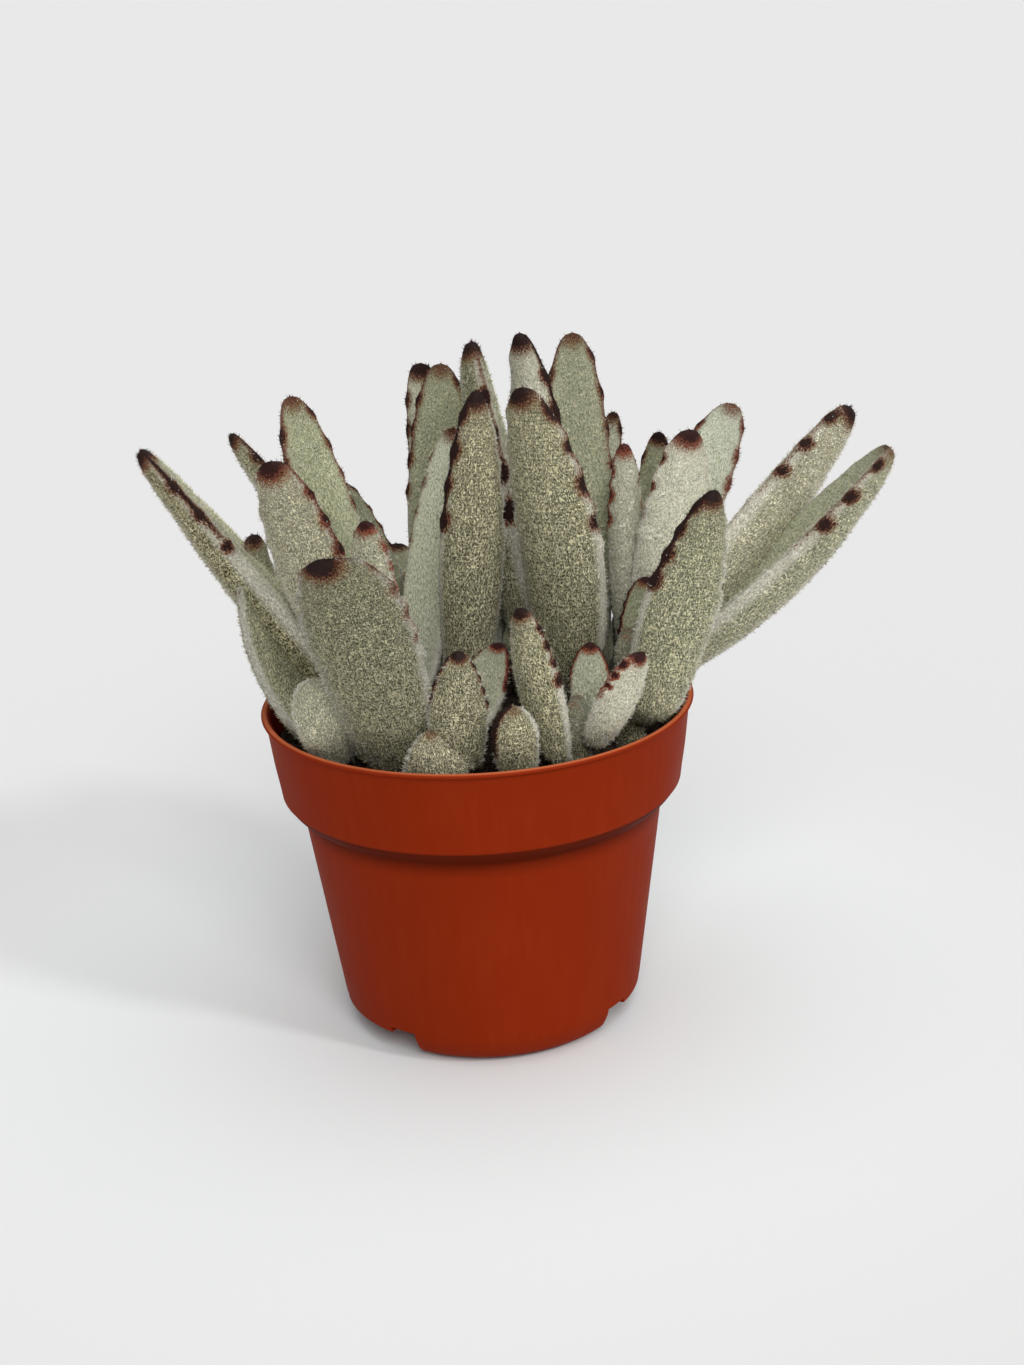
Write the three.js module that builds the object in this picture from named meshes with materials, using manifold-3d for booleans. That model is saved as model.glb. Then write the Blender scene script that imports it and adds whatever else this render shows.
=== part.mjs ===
// Panda plant (Kalanchoe tomentosa) in a plastic nursery pot.
// Millimetres, +Z up. The origin is the middle of the pot's underside, on the plane it stands on.
// The pot, the soil, each leafy stem and each grown leaf are separate closed solids.

import * as THREE from 'three';
import { mergeVertices } from 'three/addons/utils/BufferGeometryUtils.js';
import Module from 'manifold-3d';

const wasm = await Module();
wasm.setup();

const GAP = 0.3; // clearance between pieces that touch on the real plant
const SIMPLIFY = 0.03; // slivers that the cuts leave are closed up to this size

const { sin, cos, exp, sqrt, abs, sign, PI } = Math;
const radians = THREE.MathUtils.degToRad;
const clamp = THREE.MathUtils.clamp;

const group = new THREE.Group();

const materials = {
	pot: new THREE.MeshStandardMaterial( { color: 0x8a3414, roughness: 0.55, metalness: 0 } ),
	soil: new THREE.MeshStandardMaterial( { color: 0x2b211b, roughness: 1, metalness: 0 } ),
	stem: new THREE.MeshStandardMaterial( { color: 0x8f8a6a, roughness: 0.9, metalness: 0 } ),
	leaf: new THREE.MeshStandardMaterial( { color: 0x9aa585, roughness: 0.85, metalness: 0 } ),
};


// ---------------------------------------------------------------- joining and cutting

// A closed three.js geometry as a solid that can be joined and cut.
function solidOf( geometry ) {

	const bare = geometry.clone();
	bare.deleteAttribute( 'normal' );
	bare.deleteAttribute( 'uv' );
	const merged = mergeVertices( bare, 1e-4 );
	return new wasm.Manifold( new wasm.Mesh( {
		numProp: 3,
		vertProperties: new Float32Array( merged.attributes.position.array ),
		triVerts: new Uint32Array( merged.index.array ),
	} ) );

}

function geometryOf( solid ) {

	const mesh = solid.asOriginal().simplify( SIMPLIFY ).getMesh();
	const geometry = new THREE.BufferGeometry();
	geometry.setAttribute( 'position', new THREE.BufferAttribute( mesh.vertProperties, 3 ) );
	geometry.setIndex( new THREE.BufferAttribute( mesh.triVerts, 1 ) );
	geometry.computeVertexNormals();
	return geometry;

}

// The biggest body of a cut solid: scraps that a cut leaves loose are dropped.
function mainBody( solid ) {

	const bodies = solid.decompose();
	return bodies.reduce( ( best, body ) => ( body.volume() > best.volume() ? body : best ) );

}

function boxesMeet( first, second ) {

	const a = first.boundingBox();
	const b = second.boundingBox();
	return [ 0, 1, 2 ].every( ( i ) => a.min[ i ] < b.max[ i ] && b.min[ i ] < a.max[ i ] );

}

function addNode( name, solid, material ) {

	const mesh = new THREE.Mesh( geometryOf( solid ), material );
	mesh.name = name;
	group.add( mesh );

}

// A solid turned about Z from [ radius, height ] points that close on themselves or end on the axis.
function turned( points, segments ) {

	const profile = points.map( ( [ radius, height ] ) => new THREE.Vector2( radius, height ) );
	const lathe = new THREE.LatheGeometry( profile, segments );
	lathe.rotateX( PI / 2 ); // the lathe turns about Y
	return solidOf( lathe );

}


// ---------------------------------------------------------------- pot

const POT = {
	height: 82,
	wall: 1.2, // moulded wall thickness
	rimR: 52.5, // outside of the rolled lip
	lip: 1.2, // height of the lip, which stands proud of the collar
	collarTopR: 51.5,
	collarFootR: 48.9,
	collarFootZ: 61.3, // lower edge of the collar, seen as a fine line
	shoulderR: 44.2, // inner corner where the collar's underside meets the wall
	shoulderZ: 56.6,
	wallFootR: 37.1,
	wallFootZ: 6.5,
	floorZ: 8.2, // underside of the raised floor
	padR: 6, // flat boss in the middle of the underside
	segments: 40,
};

// Points [ radius, height ] on the outside of the collar, from its underside up to its lip.
const COLLAR = { under: [ 46.3, 58.1 ], foot: [ 47.9, 59.8 ], low: [ 49.3, 64 ], high: [ 50.2, 69.5 ] };

// Points [ radius, height ] down the inside of the foot's skirt and up its outside.
const SKIRT = [
	[ 35.4, POT.floorZ ], [ 35.3, 6.8 ], [ 33.6, 3.6 ], [ 31.6, 1.6 ], [ 29.3, 0 ],
	[ 30.5, 0 ], [ 33, 0.9 ], [ 35.2, 2.8 ],
];

const DRAIN_HOLE = { radius: 3, ring: 19, count: 6, sides: 12, depth: 12 };

// The skirt stands in two arcs, in front of and behind the pot's middle. Beside the ends of each arc it is
// cut away from the ground up: `away` is in degrees from the arc's middle, and the cut reaches `half` degrees
// to each side of that.
const ARC_HEADINGS = [ - 81, 99 ];
const SKIRT_GAPS = [
	{ away: 45.5, half: 5.5, height: 7.8 },
	{ away: 70, half: 19.5, height: 6.3 },
	{ away: 88, half: 2, height: 7.8 },
];
const GAP_CUT = { innerR: 20, outerR: 46 }; // the cut's reach, inside and outside of the skirt

// A point moved in toward the pot's axis, and up by a little where wanted.
function inset( [ radius, height ], inward, raise = 0 ) {

	return [ radius - inward, height + raise ];

}

function potProfile() {

	const { wall, height, lip } = POT;
	const innerWallFoot = POT.wallFootR - wall;
	const floorTop = POT.floorZ + wall;
	return [
		[ 0, 0 ],
		[ POT.padR, 0 ],
		[ POT.padR, POT.floorZ ],
		...SKIRT,
		[ POT.wallFootR, POT.wallFootZ ],
		[ POT.shoulderR, POT.shoulderZ ],
		COLLAR.under,
		COLLAR.foot,
		[ POT.collarFootR - 0.4, POT.collarFootZ - 0.2 ],
		[ POT.collarFootR, POT.collarFootZ ],
		COLLAR.low,
		COLLAR.high,
		[ POT.collarTopR, height - lip ],
		[ POT.rimR - 0.1, height - lip + 0.3 ], // the rolled lip, round and over
		[ POT.rimR, height - 0.6 ],
		[ POT.rimR - 0.35, height - 0.2 ],
		[ POT.rimR - 0.9, height ],
		[ POT.rimR - 1.5, height - 0.2 ],
		[ POT.collarTopR - wall - 0.1, height - lip ],
		inset( COLLAR.high, wall ),
		inset( COLLAR.low, wall ),
		inset( COLLAR.foot, wall, 0.8 ),
		[ POT.shoulderR - wall, POT.shoulderZ + 0.6 ],
		[ innerWallFoot + 0.4, floorTop + 1.8 ],
		[ innerWallFoot - 0.3, floorTop + 0.6 ],
		[ innerWallFoot - 2.3, floorTop ],
		[ 0, floorTop ],
	];

}

// A block from below the ground up to `height`, as wide as `half` degrees to each side of `heading`.
function skirtCut( heading, half, height ) {

	const { innerR, outerR } = GAP_CUT;
	const corner = ( radius, turn ) => new THREE.Vector2( radius, 0 )
		.rotateAround( new THREE.Vector2(), radians( heading + turn ) );
	const outline = new THREE.Shape( [
		corner( innerR, - half ), corner( outerR, - half ), corner( outerR, half ), corner( innerR, half ),
	] );
	const block = new THREE.ExtrudeGeometry( outline, { depth: 2 * height, bevelEnabled: false } );
	block.translate( 0, 0, - height );
	return solidOf( block );

}

function makePot() {

	let pot = turned( potProfile(), POT.segments );
	for ( const { away, half, height } of SKIRT_GAPS ) {

		for ( const middle of ARC_HEADINGS ) {

			for ( const side of [ - 1, 1 ] ) {

				pot = pot.subtract( skirtCut( middle + side * away, half, height ) );

			}

		}

	}

	for ( let i = 0; i < DRAIN_HOLE.count; i ++ ) {

		const { radius, ring, count, sides, depth } = DRAIN_HOLE;
		const hole = new THREE.CylinderGeometry( radius, radius, depth, sides );
		hole.rotateX( PI / 2 );
		hole.translate( ring, 0, POT.floorZ );
		hole.rotateZ( 2 * PI * i / count );
		pot = pot.subtract( solidOf( hole ) );

	}

	return pot;

}


// ---------------------------------------------------------------- leaves

// Where along a blade (0 root, 1 tip) the teeth of its right and left margins stand.
const RIGHT_TEETH = [ 0.55, 0.66, 0.77, 0.87 ];
const LEFT_TEETH = [ 0.605, 0.715, 0.82, 0.93 ];
const TOOTH = { length: 0.024, height: 0.04 }; // along the blade, and as a share of its width
const STATIONS = [ 0, 0.04, 0.14, 0.3, 0.46, 0.55, 0.605, 0.66, 0.715, 0.77, 0.82, 0.87, 0.94, 0.985, 1 ];
const SHORT_STATIONS = [ 0, 0.06, 0.2, 0.4, 0.55, 0.66, 0.77, 0.87, 0.96, 1 ];
const SHORT_BLADE = 33; // blades shorter than this have the short stations
const BUD_STATIONS = [ 0, 0.4, 0.66, 0.87, 1 ]; // for the crowns
const SIDES = 8;
const SPINE_STEPS = 200;
const KICK_END = 0.16; // share of the blade over which its root bends outward
const TIP_DOME = 0.35; // rounding beyond the last station, in mm
const LEAF_DEFAULTS = {
	curl: 4, bow: 0, roll: 0, cup: 0.2, neck: 0.55, kick: 38,
	widest: 0.5, taper: 1.6, blunt: 2.4, sides: SIDES,
};

function teeth( s, places ) {

	return places.reduce( ( sum, place ) => sum + exp( - ( ( ( s - place ) / TOOTH.length ) ** 2 ) ), 0 );

}

// Half the blade's width at s: a neck at the root that swells up to `widest`, and a tip beyond it. A higher
// `taper` keeps the tip wide for longer and a higher `blunt` ends it rounder.
function halfWidth( s, { width, neck, widest, taper, blunt } ) {

	const tip = clamp( ( s - widest ) / ( 1 - widest ), 0, 1 );
	const lower = neck + ( 1 - neck ) * sin( PI / 2 * clamp( s / widest, 0, 1 ) ) ** 0.9;
	const root = 0.55 + 0.45 * sin( PI / 2 * clamp( s / 0.1, 0, 1 ) );
	const share = s < widest ? lower * root : ( 1 - tip ** taper ) ** ( 1 / blunt );
	return Math.max( width / 2 * share, 0.05 );

}

// Half the blade's thickness at s: fleshy along the middle, thinning to the tip.
function halfThickness( s, { thick } ) {

	const belly = 0.7 + 0.3 * sin( PI * clamp( s / 0.8, 0, 1 ) );
	const root = 0.45 + 0.55 * sin( PI / 2 * clamp( s / 0.08, 0, 1 ) );
	const end = sqrt( 1 - clamp( ( s - 0.6 ) / 0.4, 0, 1 ) ** 2.4 );
	return thick / 2 * belly * root * ( 0.1 + 0.9 * end );

}

// The blade's middle line, as points and frames at each station. The blade rises at `rise` degrees,
// turns by `curl` along its length, leaves the stem flatter by `kick` and bows sideways by `bow`.
function spine( root, leaf, stations ) {

	const heading = radians( leaf.heading );
	const side = new THREE.Vector3( - sin( heading ), cos( heading ), 0 );
	const kick = ( s ) => leaf.kick * clamp( 1 - s / KICK_END, 0, 1 ) ** 2;
	const slope = ( s ) => radians( leaf.rise + leaf.curl * s - kick( s ) );
	const along = ( s ) => new THREE.Vector3( cos( heading ), sin( heading ), 0 )
		.multiplyScalar( cos( slope( s ) ) ).setZ( sin( slope( s ) ) );
	const walked = [ new THREE.Vector3() ];
	for ( let i = 0; i < SPINE_STEPS; i ++ ) {

		const step = along( ( i + 0.5 ) / SPINE_STEPS ).multiplyScalar( leaf.length / SPINE_STEPS );
		walked.push( walked[ i ].clone().add( step ) );

	}

	const roll = radians( leaf.roll );
	return stations.map( ( s ) => {

		const at = clamp( s * SPINE_STEPS, 0, SPINE_STEPS - 1e-6 );
		const first = Math.floor( at );
		const point = walked[ first ].clone().lerp( walked[ first + 1 ], at - first ).add( root )
			.addScaledVector( side, leaf.bow * sin( PI * s ) );
		const face = along( s ).cross( side );
		const across = side.clone().multiplyScalar( cos( roll ) ).addScaledVector( face, sin( roll ) );
		const up = face.clone().multiplyScalar( cos( roll ) ).addScaledVector( side, - sin( roll ) );
		return { s, point, across, up };

	} );

}

// One blade as a closed solid. `grow` swells it on every side, for the copy that clears its neighbours.
function leafSolid( root, leaf, grow = 0 ) {

	const { sides } = leaf;
	const stations = leaf.stations ?? ( leaf.length < SHORT_BLADE ? SHORT_STATIONS : STATIONS );
	const rings = spine( root, leaf, stations );
	const vertices = [];
	const faces = [];
	for ( const { s, point, across, up } of rings ) {

		const half = halfWidth( s, leaf ) + grow;
		const depth = Math.min( halfThickness( s, leaf ) + grow, half * 0.95 );
		const full = clamp( half / ( 0.3 * leaf.width ), 0, 1 );
		const right = TOOTH.height * leaf.width * full * teeth( s, RIGHT_TEETH );
		const left = TOOTH.height * leaf.width * full * teeth( s, LEFT_TEETH );
		for ( let j = 0; j < sides; j ++ ) {

			const c = cos( 2 * PI * j / sides );
			const d = sin( 2 * PI * j / sides );
			const tooth = ( c > 0 ? right : left ) * sign( c ) * abs( c ) ** 8;
			const dish = leaf.cup * half * ( c * c - 0.45 );
			vertices.push( point.clone()
				.addScaledVector( across, half * c + tooth )
				.addScaledVector( up, depth * ( d > 0 ? 0.75 : 1.25 ) * d + dish ) );

		}

	}

	const last = rings.length - 1;
	for ( let i = 0; i < last; i ++ ) {

		for ( let j = 0; j < sides; j ++ ) {

			const next = ( j + 1 ) % sides;
			const [ a, b ] = [ i * sides + j, i * sides + next ];
			faces.push( a, b, b + sides, a, b + sides, a + sides );

		}

	}

	for ( const [ ring, outward ] of [ [ 0, - 1 ], [ last, 1 ] ] ) {

		const hub = vertices.length;
		const rim = vertices.slice( ring * sides, ( ring + 1 ) * sides );
		const centre = rim.reduce( ( sum, v ) => sum.add( v ), new THREE.Vector3() ).divideScalar( sides );
		vertices.push( centre.addScaledVector( rings[ ring ].across.clone().cross( rings[ ring ].up ),
			outward * ( ring === 0 ? grow : TIP_DOME + grow ) ) );
		for ( let j = 0; j < sides; j ++ ) {

			const [ a, b ] = [ ring * sides + j, ring * sides + ( j + 1 ) % sides ];
			faces.push( hub, ...( outward > 0 ? [ a, b ] : [ b, a ] ) );

		}

	}

	const geometry = new THREE.BufferGeometry().setFromPoints( vertices );
	geometry.setIndex( faces );
	return solidOf( geometry );

}


// ---------------------------------------------------------------- soil

const SOIL = {
	top: 73.2,
	heave: 0.55, // height of the low waves in its surface
	bottom: 10,
	edgeR: 48.4, // where its surface meets the pot
	rings: [ 34, 17 ], // radii of the rings of points that carry the waves
};
const STEM = { radius: 3.6, taper: 0.85, foot: 60, sides: 8 };
const STEM_HOLE_TOP = SOIL.top + 10; // well above the soil

// Height of the soil's surface: level but for low, wide waves.
function soilHeight( x, y ) {

	return SOIL.top + SOIL.heave * sin( x / 9 ) * cos( y / 7 );

}

// The soil fills the pot up to a clearance from its wall. `lift` raises only its surface.
function soilSolid( lift = 0 ) {

	const wall = POT.wall + GAP;
	const profile = [
		[ 0, SOIL.bottom ],
		[ POT.wallFootR - wall - 2.4, SOIL.bottom ],
		[ POT.wallFootR - wall - 0.4, SOIL.bottom + 1.8 ],
		[ POT.shoulderR - wall, POT.shoulderZ + 1 ],
		inset( COLLAR.foot, wall, 1.6 ),
		inset( COLLAR.low, wall + 0.3, 1 ),
		inset( COLLAR.high, wall + 0.2, 0.9 ),
		[ SOIL.edgeR, SOIL.top ],
		...SOIL.rings.map( ( radius ) => [ radius, SOIL.top ] ),
		[ 0, SOIL.top ],
	].map( ( [ radius, height ] ) => new THREE.Vector2( radius, height ) );
	const lathe = new THREE.LatheGeometry( profile, POT.segments );
	lathe.rotateX( PI / 2 );
	const position = lathe.attributes.position;
	for ( let i = 0; i < position.count; i ++ ) {

		const [ x, y, z ] = [ position.getX( i ), position.getY( i ), position.getZ( i ) ];
		if ( z < SOIL.top - 0.01 ) continue;
		const atEdge = Math.hypot( x, y ) > SOIL.edgeR - 0.5;
		position.setZ( i, ( atEdge ? SOIL.top : soilHeight( x, y ) ) + lift );

	}

	return solidOf( lathe );

}

// A tapered shaft standing at x, y from down in the soil to `top`, swelled by `grow` for its hole.
function column( [ x, y ], top, grow = 0 ) {

	const foot = STEM.foot - grow;
	const shaft = new THREE.CylinderGeometry(
		STEM.radius * STEM.taper + grow, STEM.radius + grow, top - foot, STEM.sides );
	shaft.rotateX( PI / 2 );
	shaft.translate( x, y, ( top + foot ) / 2 );
	return solidOf( shaft );

}


// ---------------------------------------------------------------- layout

// Each stem stands at `at` in the soil and ends at `top`, in a crown of young leaves turned by `turn`.
// A leaf starts on its stem at `height`, on the side that it heads for: 0 is +X, 90 is +Y.
// Where leaves press together the one listed later gives way.
const STEMS = [
	{ name: 'front_left_stem', at: [ - 17, - 22 ], top: 94, turn: 20, leaves: [
		{ height: 76, heading: - 104, rise: 63, curl: - 6, length: 71, width: 24.5,
		  thick: 7.5, roll: 5, cup: 0.12, neck: 0.7, widest: 0.62, taper: 2, blunt: 2.8 },
		{ height: 90, heading: - 122, rise: 83.2, length: 45.7, width: 13, thick: 5 },
		{ height: 84, heading: 62, rise: 70, length: 10, width: 11, thick: 5 },
	] },
	{ name: 'front_right_stem', at: [ 36, - 16 ], top: 92, turn: 80, leaves: [
		{ height: 81.5, heading: - 46, rise: 72.7, curl: - 6, length: 63, width: 18.5,
		  bow: 1, thick: 7.5, roll: - 32, cup: 0.12, neck: 0.68, kick: 36, taper: 1.1,
		  blunt: 1.9 },
		{ height: 84, heading: 60, rise: 77.6, curl: 0, length: 28.8, width: 12, thick: 5, roll: 40 },
	] },
	{ name: 'centre_stem', at: [ - 6, 3 ], top: 96, turn: 50, leaves: [
		{ height: 82, heading: - 60, rise: 79, curl: 3, length: 80, width: 15.5,
		  thick: 6.5, roll: - 20, cup: 0.15, taper: 1.3, blunt: 2 },
		{ height: 80, heading: 48, rise: 66, length: 50, width: 14, thick: 5.5 },
	] },
	{ name: 'centre_right_stem', at: [ 26, - 1 ], top: 98, turn: 10, leaves: [
		{ height: 81, heading: - 130, rise: 80, bow: 5, length: 81, width: 21.5,
		  thick: 7.5, roll: 10, cup: 0.12 },
		{ height: 87, heading: 86, rise: 82, curl: 2, length: 81, width: 17, thick: 5.5 },
		{ height: 84, heading: 169, rise: 72.2, curl: 14, length: 87, width: 18,
		  thick: 13, bow: - 5, roll: 24, cup: 0 },
		{ height: 79, heading: 84, rise: 60, length: 50, width: 13, thick: 5.5 },
	] },
	{ name: 'left_stem', at: [ - 20, - 4 ], top: 98, turn: 0, leaves: [
		{ height: 83, heading: - 135, rise: 66.3, curl: 6, length: 72, width: 18.5,
		  thick: 7, roll: 25, cup: 0.15, taper: 1.8, blunt: 2.6 },
		{ height: 81, heading: - 174, rise: 58.8, curl: - 6, length: 85, width: 17.5,
		  thick: 11, roll: 6 },
		{ height: 86, heading: 131, rise: 67, length: 74, width: 18, thick: 5.5 },
		{ height: 79, heading: 164, rise: 46, length: 40, width: 16, thick: 5 },
		{ height: 84, heading: 34, rise: 74, length: 65.5, width: 20, thick: 6, cup: 0.3 },
	] },
	{ name: 'right_stem', at: [ 37, 9 ], top: 98, turn: 35, leaves: [
		{ height: 84, heading: - 35, rise: 76, length: 64, width: 19, thick: 6, roll: - 30, cup: 0.15 },
		{ height: 90, heading: - 85, rise: 87, curl: 0, length: 53, width: 9, thick: 4.5 },
		{ height: 88, heading: 18, rise: 74.8, curl: - 14, length: 64.5, width: 18.5,
		  thick: 5.5, roll: 24, widest: 0.65 },
		{ height: 87, heading: 6, rise: 48.9, curl: 2, length: 79, width: 19.5,
		  thick: 11, roll: - 45, blunt: 3 },
		{ height: 84.8, heading: - 14, rise: 36.3, curl: 15, length: 82, width: 20,
		  thick: 9, roll: 8, cup: 0.6, kick: 22 },
		{ height: 89, heading: 45, rise: 78, length: 53, width: 13, thick: 4.5 },
		{ height: 82, heading: 46, rise: 42, curl: 6, length: 43, width: 17, thick: 6 },
	] },
	{ name: 'rear_left_stem', at: [ - 15, 24 ], top: 98, turn: 60, leaves: [
		{ height: 87, heading: 26, rise: 84, length: 72, width: 17.5, thick: 5.5, roll: 50 },
		{ height: 84, heading: 74, rise: 79, bow: - 3, length: 74, width: 12.5,
		  thick: 5, taper: 2.2, blunt: 3 },
		{ height: 82, heading: 122, rise: 50.9, length: 54, width: 17, thick: 5 },
		{ height: 86, heading: 168, rise: 59.7, curl: - 6, length: 69.5, width: 18,
		  thick: 7, roll: 34 },
		{ height: 79, heading: 62, rise: 54, curl: 6, length: 56, width: 15, thick: 6 },
		{ height: 80, heading: 166, rise: 34, curl: 8, length: 46, width: 16, thick: 6 },
		{ height: 76, heading: 98, rise: 36, curl: 6, length: 46, width: 16, thick: 6 },
		{ height: 84, heading: - 172, rise: 62, curl: 6, length: 40, width: 13, thick: 5 },
	] },
	{ name: 'rear_right_stem', at: [ 21, 24 ], top: 98, turn: 90, leaves: [
		{ height: 86, heading: - 112, rise: 81, bow: 3.4, length: 84, width: 13, thick: 5.5, roll: 10 },
		{ height: 84, heading: 52, rise: 67, length: 61.5, width: 11.5, thick: 4.5 },
		{ height: 80, heading: 108, rise: 50, curl: 6, length: 62, width: 17, thick: 6 },
		{ height: 82, heading: 62, rise: 48, curl: 8, length: 60, width: 17, thick: 6 },
		{ height: 76, heading: 18, rise: 40, curl: 10, length: 44, width: 15, thick: 6 },
		{ height: 78, heading: 152, rise: 44, curl: 8, length: 38, width: 14, thick: 5.5 },
	] },
	{ name: 'front_shoot', at: [ - 7, - 32 ], top: 86, turn: 30, leaves: [
		{ height: 78, heading: - 66, rise: 79, curl: 3, length: 30, width: 13.8,
		  thick: 7, roll: - 20, cup: 0.12, neck: 0.85, taper: 1.15, blunt: 1.8 },
		{ height: 82, heading: 45, rise: 52.5, curl: 3, length: 24.5, width: 15,
		  thick: 5, taper: 1.3, blunt: 2 },
		{ height: 76, heading: - 109, rise: 38, curl: 58, length: 15, width: 15.5,
		  thick: 6.5, roll: 20, cup: 0.12, neck: 0.95, widest: 0.35, taper: 1.1, blunt: 1.7 },
	] },
	{ name: 'front_centre_shoot', at: [ 9, - 33 ], top: 80, turn: 40, leaves: [
		{ height: 77, heading: - 92, rise: 67, curl: 0, length: 20, width: 10.5,
		  thick: 6, cup: 0.15, neck: 0.9, taper: 1.6, blunt: 2.2 },
	] },
	{ name: 'right_shoot', at: [ 23, - 27 ], top: 80, turn: 75, leaves: [
		{ height: 76, heading: - 146, rise: 76, curl: 3, length: 40, width: 12,
		  thick: 6.5, roll: 20, cup: 0.12 },
		{ height: 80, heading: - 38, rise: 59, length: 28, width: 11.5,
		  thick: 5.5, roll: - 20, cup: 0.15 },
		{ height: 84, heading: 40, rise: 88, curl: 0, length: 18, width: 9.5,
		  thick: 4.5, roll: 40, neck: 0.8, taper: 1.4, blunt: 2 },
	] },
	{ name: 'far_left_shoot', at: [ - 33, - 19 ], top: 80, turn: 45, leaves: [
		{ height: 77, heading: - 100, rise: 60, curl: 6, length: 27, width: 14, thick: 8, cup: 0.1 },
		{ height: 79, heading: 150, rise: 51.3, curl: 45, length: 52.9, width: 16.5,
		  thick: 7, cup: 0.1, kick: 25 },
	] },
];

const LEAF_OFFSET = STEM.radius + 0.4; // from the stem's middle to the start of a leaf
const CROWN = { leaves: 2, sink: 3 };
const BUD = {
	rise: 74, curl: 10, length: 13, width: 6, thick: 3, neck: 0.8, kick: 0, sides: 6, stations: BUD_STATIONS,
};

function leafRoot( stem, leaf ) {

	const heading = radians( leaf.heading );
	const [ x, y ] = stem.at;
	return new THREE.Vector3( cos( heading ), sin( heading ), 0 ).multiplyScalar( LEAF_OFFSET )
		.add( new THREE.Vector3( x, y, leaf.height ) );

}

// The stem with its crown of young leaves, their roots sunk well into it.
function stemSolid( stem ) {

	let solid = column( stem.at, stem.top );
	const root = new THREE.Vector3( ...stem.at, stem.top - CROWN.sink );
	for ( let i = 0; i < CROWN.leaves; i ++ ) {

		const heading = stem.turn + 360 * i / CROWN.leaves;
		solid = solid.add( leafSolid( root, { ...LEAF_DEFAULTS, ...BUD, heading } ) );

	}

	return solid;

}

// The collar swelled by the clearance, solid from its inside to its lip: leaves stay out of it.
function rimKeepOut() {

	const inner = POT.collarTopR - POT.wall - GAP;
	const lowInner = inner - 1.2;
	const outer = POT.rimR + GAP;
	const top = POT.height + GAP;
	const low = COLLAR.high[ 1 ];
	const profile = [ [ lowInner, low ], [ outer, low ], [ outer, top ], [ inner, top ], [ lowInner, low ] ];
	return turned( profile, POT.segments );

}


// ---------------------------------------------------------------- assembly

// What stands already, swelled by the clearance: a solid that comes later is cut back from it.
const potAndSoil = [ rimKeepOut(), soilSolid( GAP ) ];
const grownLeaves = [];

function cleared( solid, standing ) {

	const near = standing.filter( ( other ) => boxesMeet( other, solid ) );
	const cut = near.reduce( ( rest, other ) => rest.subtract( other ), solid );
	return mainBody( cut );

}

addNode( 'pot', makePot(), materials.pot );

const stemHoles = STEMS.map( ( stem ) => column( stem.at, STEM_HOLE_TOP, GAP ) );
addNode( 'soil', stemHoles.reduce( ( rest, hole ) => rest.subtract( hole ), soilSolid() ), materials.soil );

for ( const stem of STEMS ) {

	stem.leaves.forEach( ( given, i ) => {

		const leaf = { ...LEAF_DEFAULTS, ...given };
		const root = leafRoot( stem, leaf );
		const blade = cleared( leafSolid( root, leaf ), [ ...potAndSoil, ...grownLeaves ] );
		addNode( `${ stem.name }_leaf_${ i + 1 }`, blade, materials.leaf );
		grownLeaves.push( leafSolid( root, leaf, GAP ) );

	} );

}

// The stems stand in the soil's holes and give way to every leaf.
for ( const stem of STEMS ) {

	addNode( stem.name, cleared( stemSolid( stem ), grownLeaves ), materials.stem );

}

export default group;
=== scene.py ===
"""A panda plant in its terracotta-coloured plastic nursery pot.

Sizes are in millimetres up to the point where a mesh is made, which turns them into metres. Materials measure
in metres, and in millimetres along a leaf's skin. X is to the right, Y is away from the camera and Z is up,
from the plane that the pot stands on.
"""

import bpy
import numpy as np
from mathutils import Matrix


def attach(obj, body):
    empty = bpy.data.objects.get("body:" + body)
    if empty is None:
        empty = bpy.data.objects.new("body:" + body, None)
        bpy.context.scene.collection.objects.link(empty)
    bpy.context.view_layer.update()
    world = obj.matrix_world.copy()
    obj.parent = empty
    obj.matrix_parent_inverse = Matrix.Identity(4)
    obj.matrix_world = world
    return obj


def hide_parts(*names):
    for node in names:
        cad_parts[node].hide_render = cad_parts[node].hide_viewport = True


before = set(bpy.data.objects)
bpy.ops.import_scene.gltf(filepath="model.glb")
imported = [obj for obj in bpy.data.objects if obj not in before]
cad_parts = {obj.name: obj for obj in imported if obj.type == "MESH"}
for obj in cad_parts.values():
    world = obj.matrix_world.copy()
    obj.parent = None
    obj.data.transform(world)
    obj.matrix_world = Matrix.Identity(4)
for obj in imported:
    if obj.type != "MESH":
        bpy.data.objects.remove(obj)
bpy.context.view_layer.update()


# ---- Camera
# A portrait lens a little over half a metre away, looking down on the plant from the front and held with a
# slight tilt. Distances are in mm, but for the farthest that it sees, in metres.

LENS = 58.02
SENSOR_HEIGHT = 36
VIEW_DOWN = np.radians(19.25)
VIEW_TILT = np.radians(-2.95)
VIEW_DISTANCE = 534
VIEW_TARGET = np.array([8.63, 0, 84.8])
FARTHEST_SEEN = 50


def new_object(name, data):
    """An object that shows a mesh, a lamp or the camera, linked into the scene."""
    made = bpy.data.objects.new(name, data)
    bpy.context.collection.objects.link(made)
    return made


def camera_matrix():
    """The camera's place and axes: it backs away from its target along -Y, raised by VIEW_DOWN, and then
    turns about its own line of sight by VIEW_TILT."""
    back = np.array([0, -np.cos(VIEW_DOWN), np.sin(VIEW_DOWN)])
    level_right = np.array([1.0, 0, 0])
    level_up = np.cross(back, level_right)
    right = level_right * np.cos(VIEW_TILT) + level_up * np.sin(VIEW_TILT)
    up = level_up * np.cos(VIEW_TILT) - level_right * np.sin(VIEW_TILT)
    place = (VIEW_TARGET + back * VIEW_DISTANCE) / 1000
    rows = np.eye(4)
    rows[:3] = np.column_stack([right, up, back, place])
    return Matrix(rows.tolist())


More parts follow.
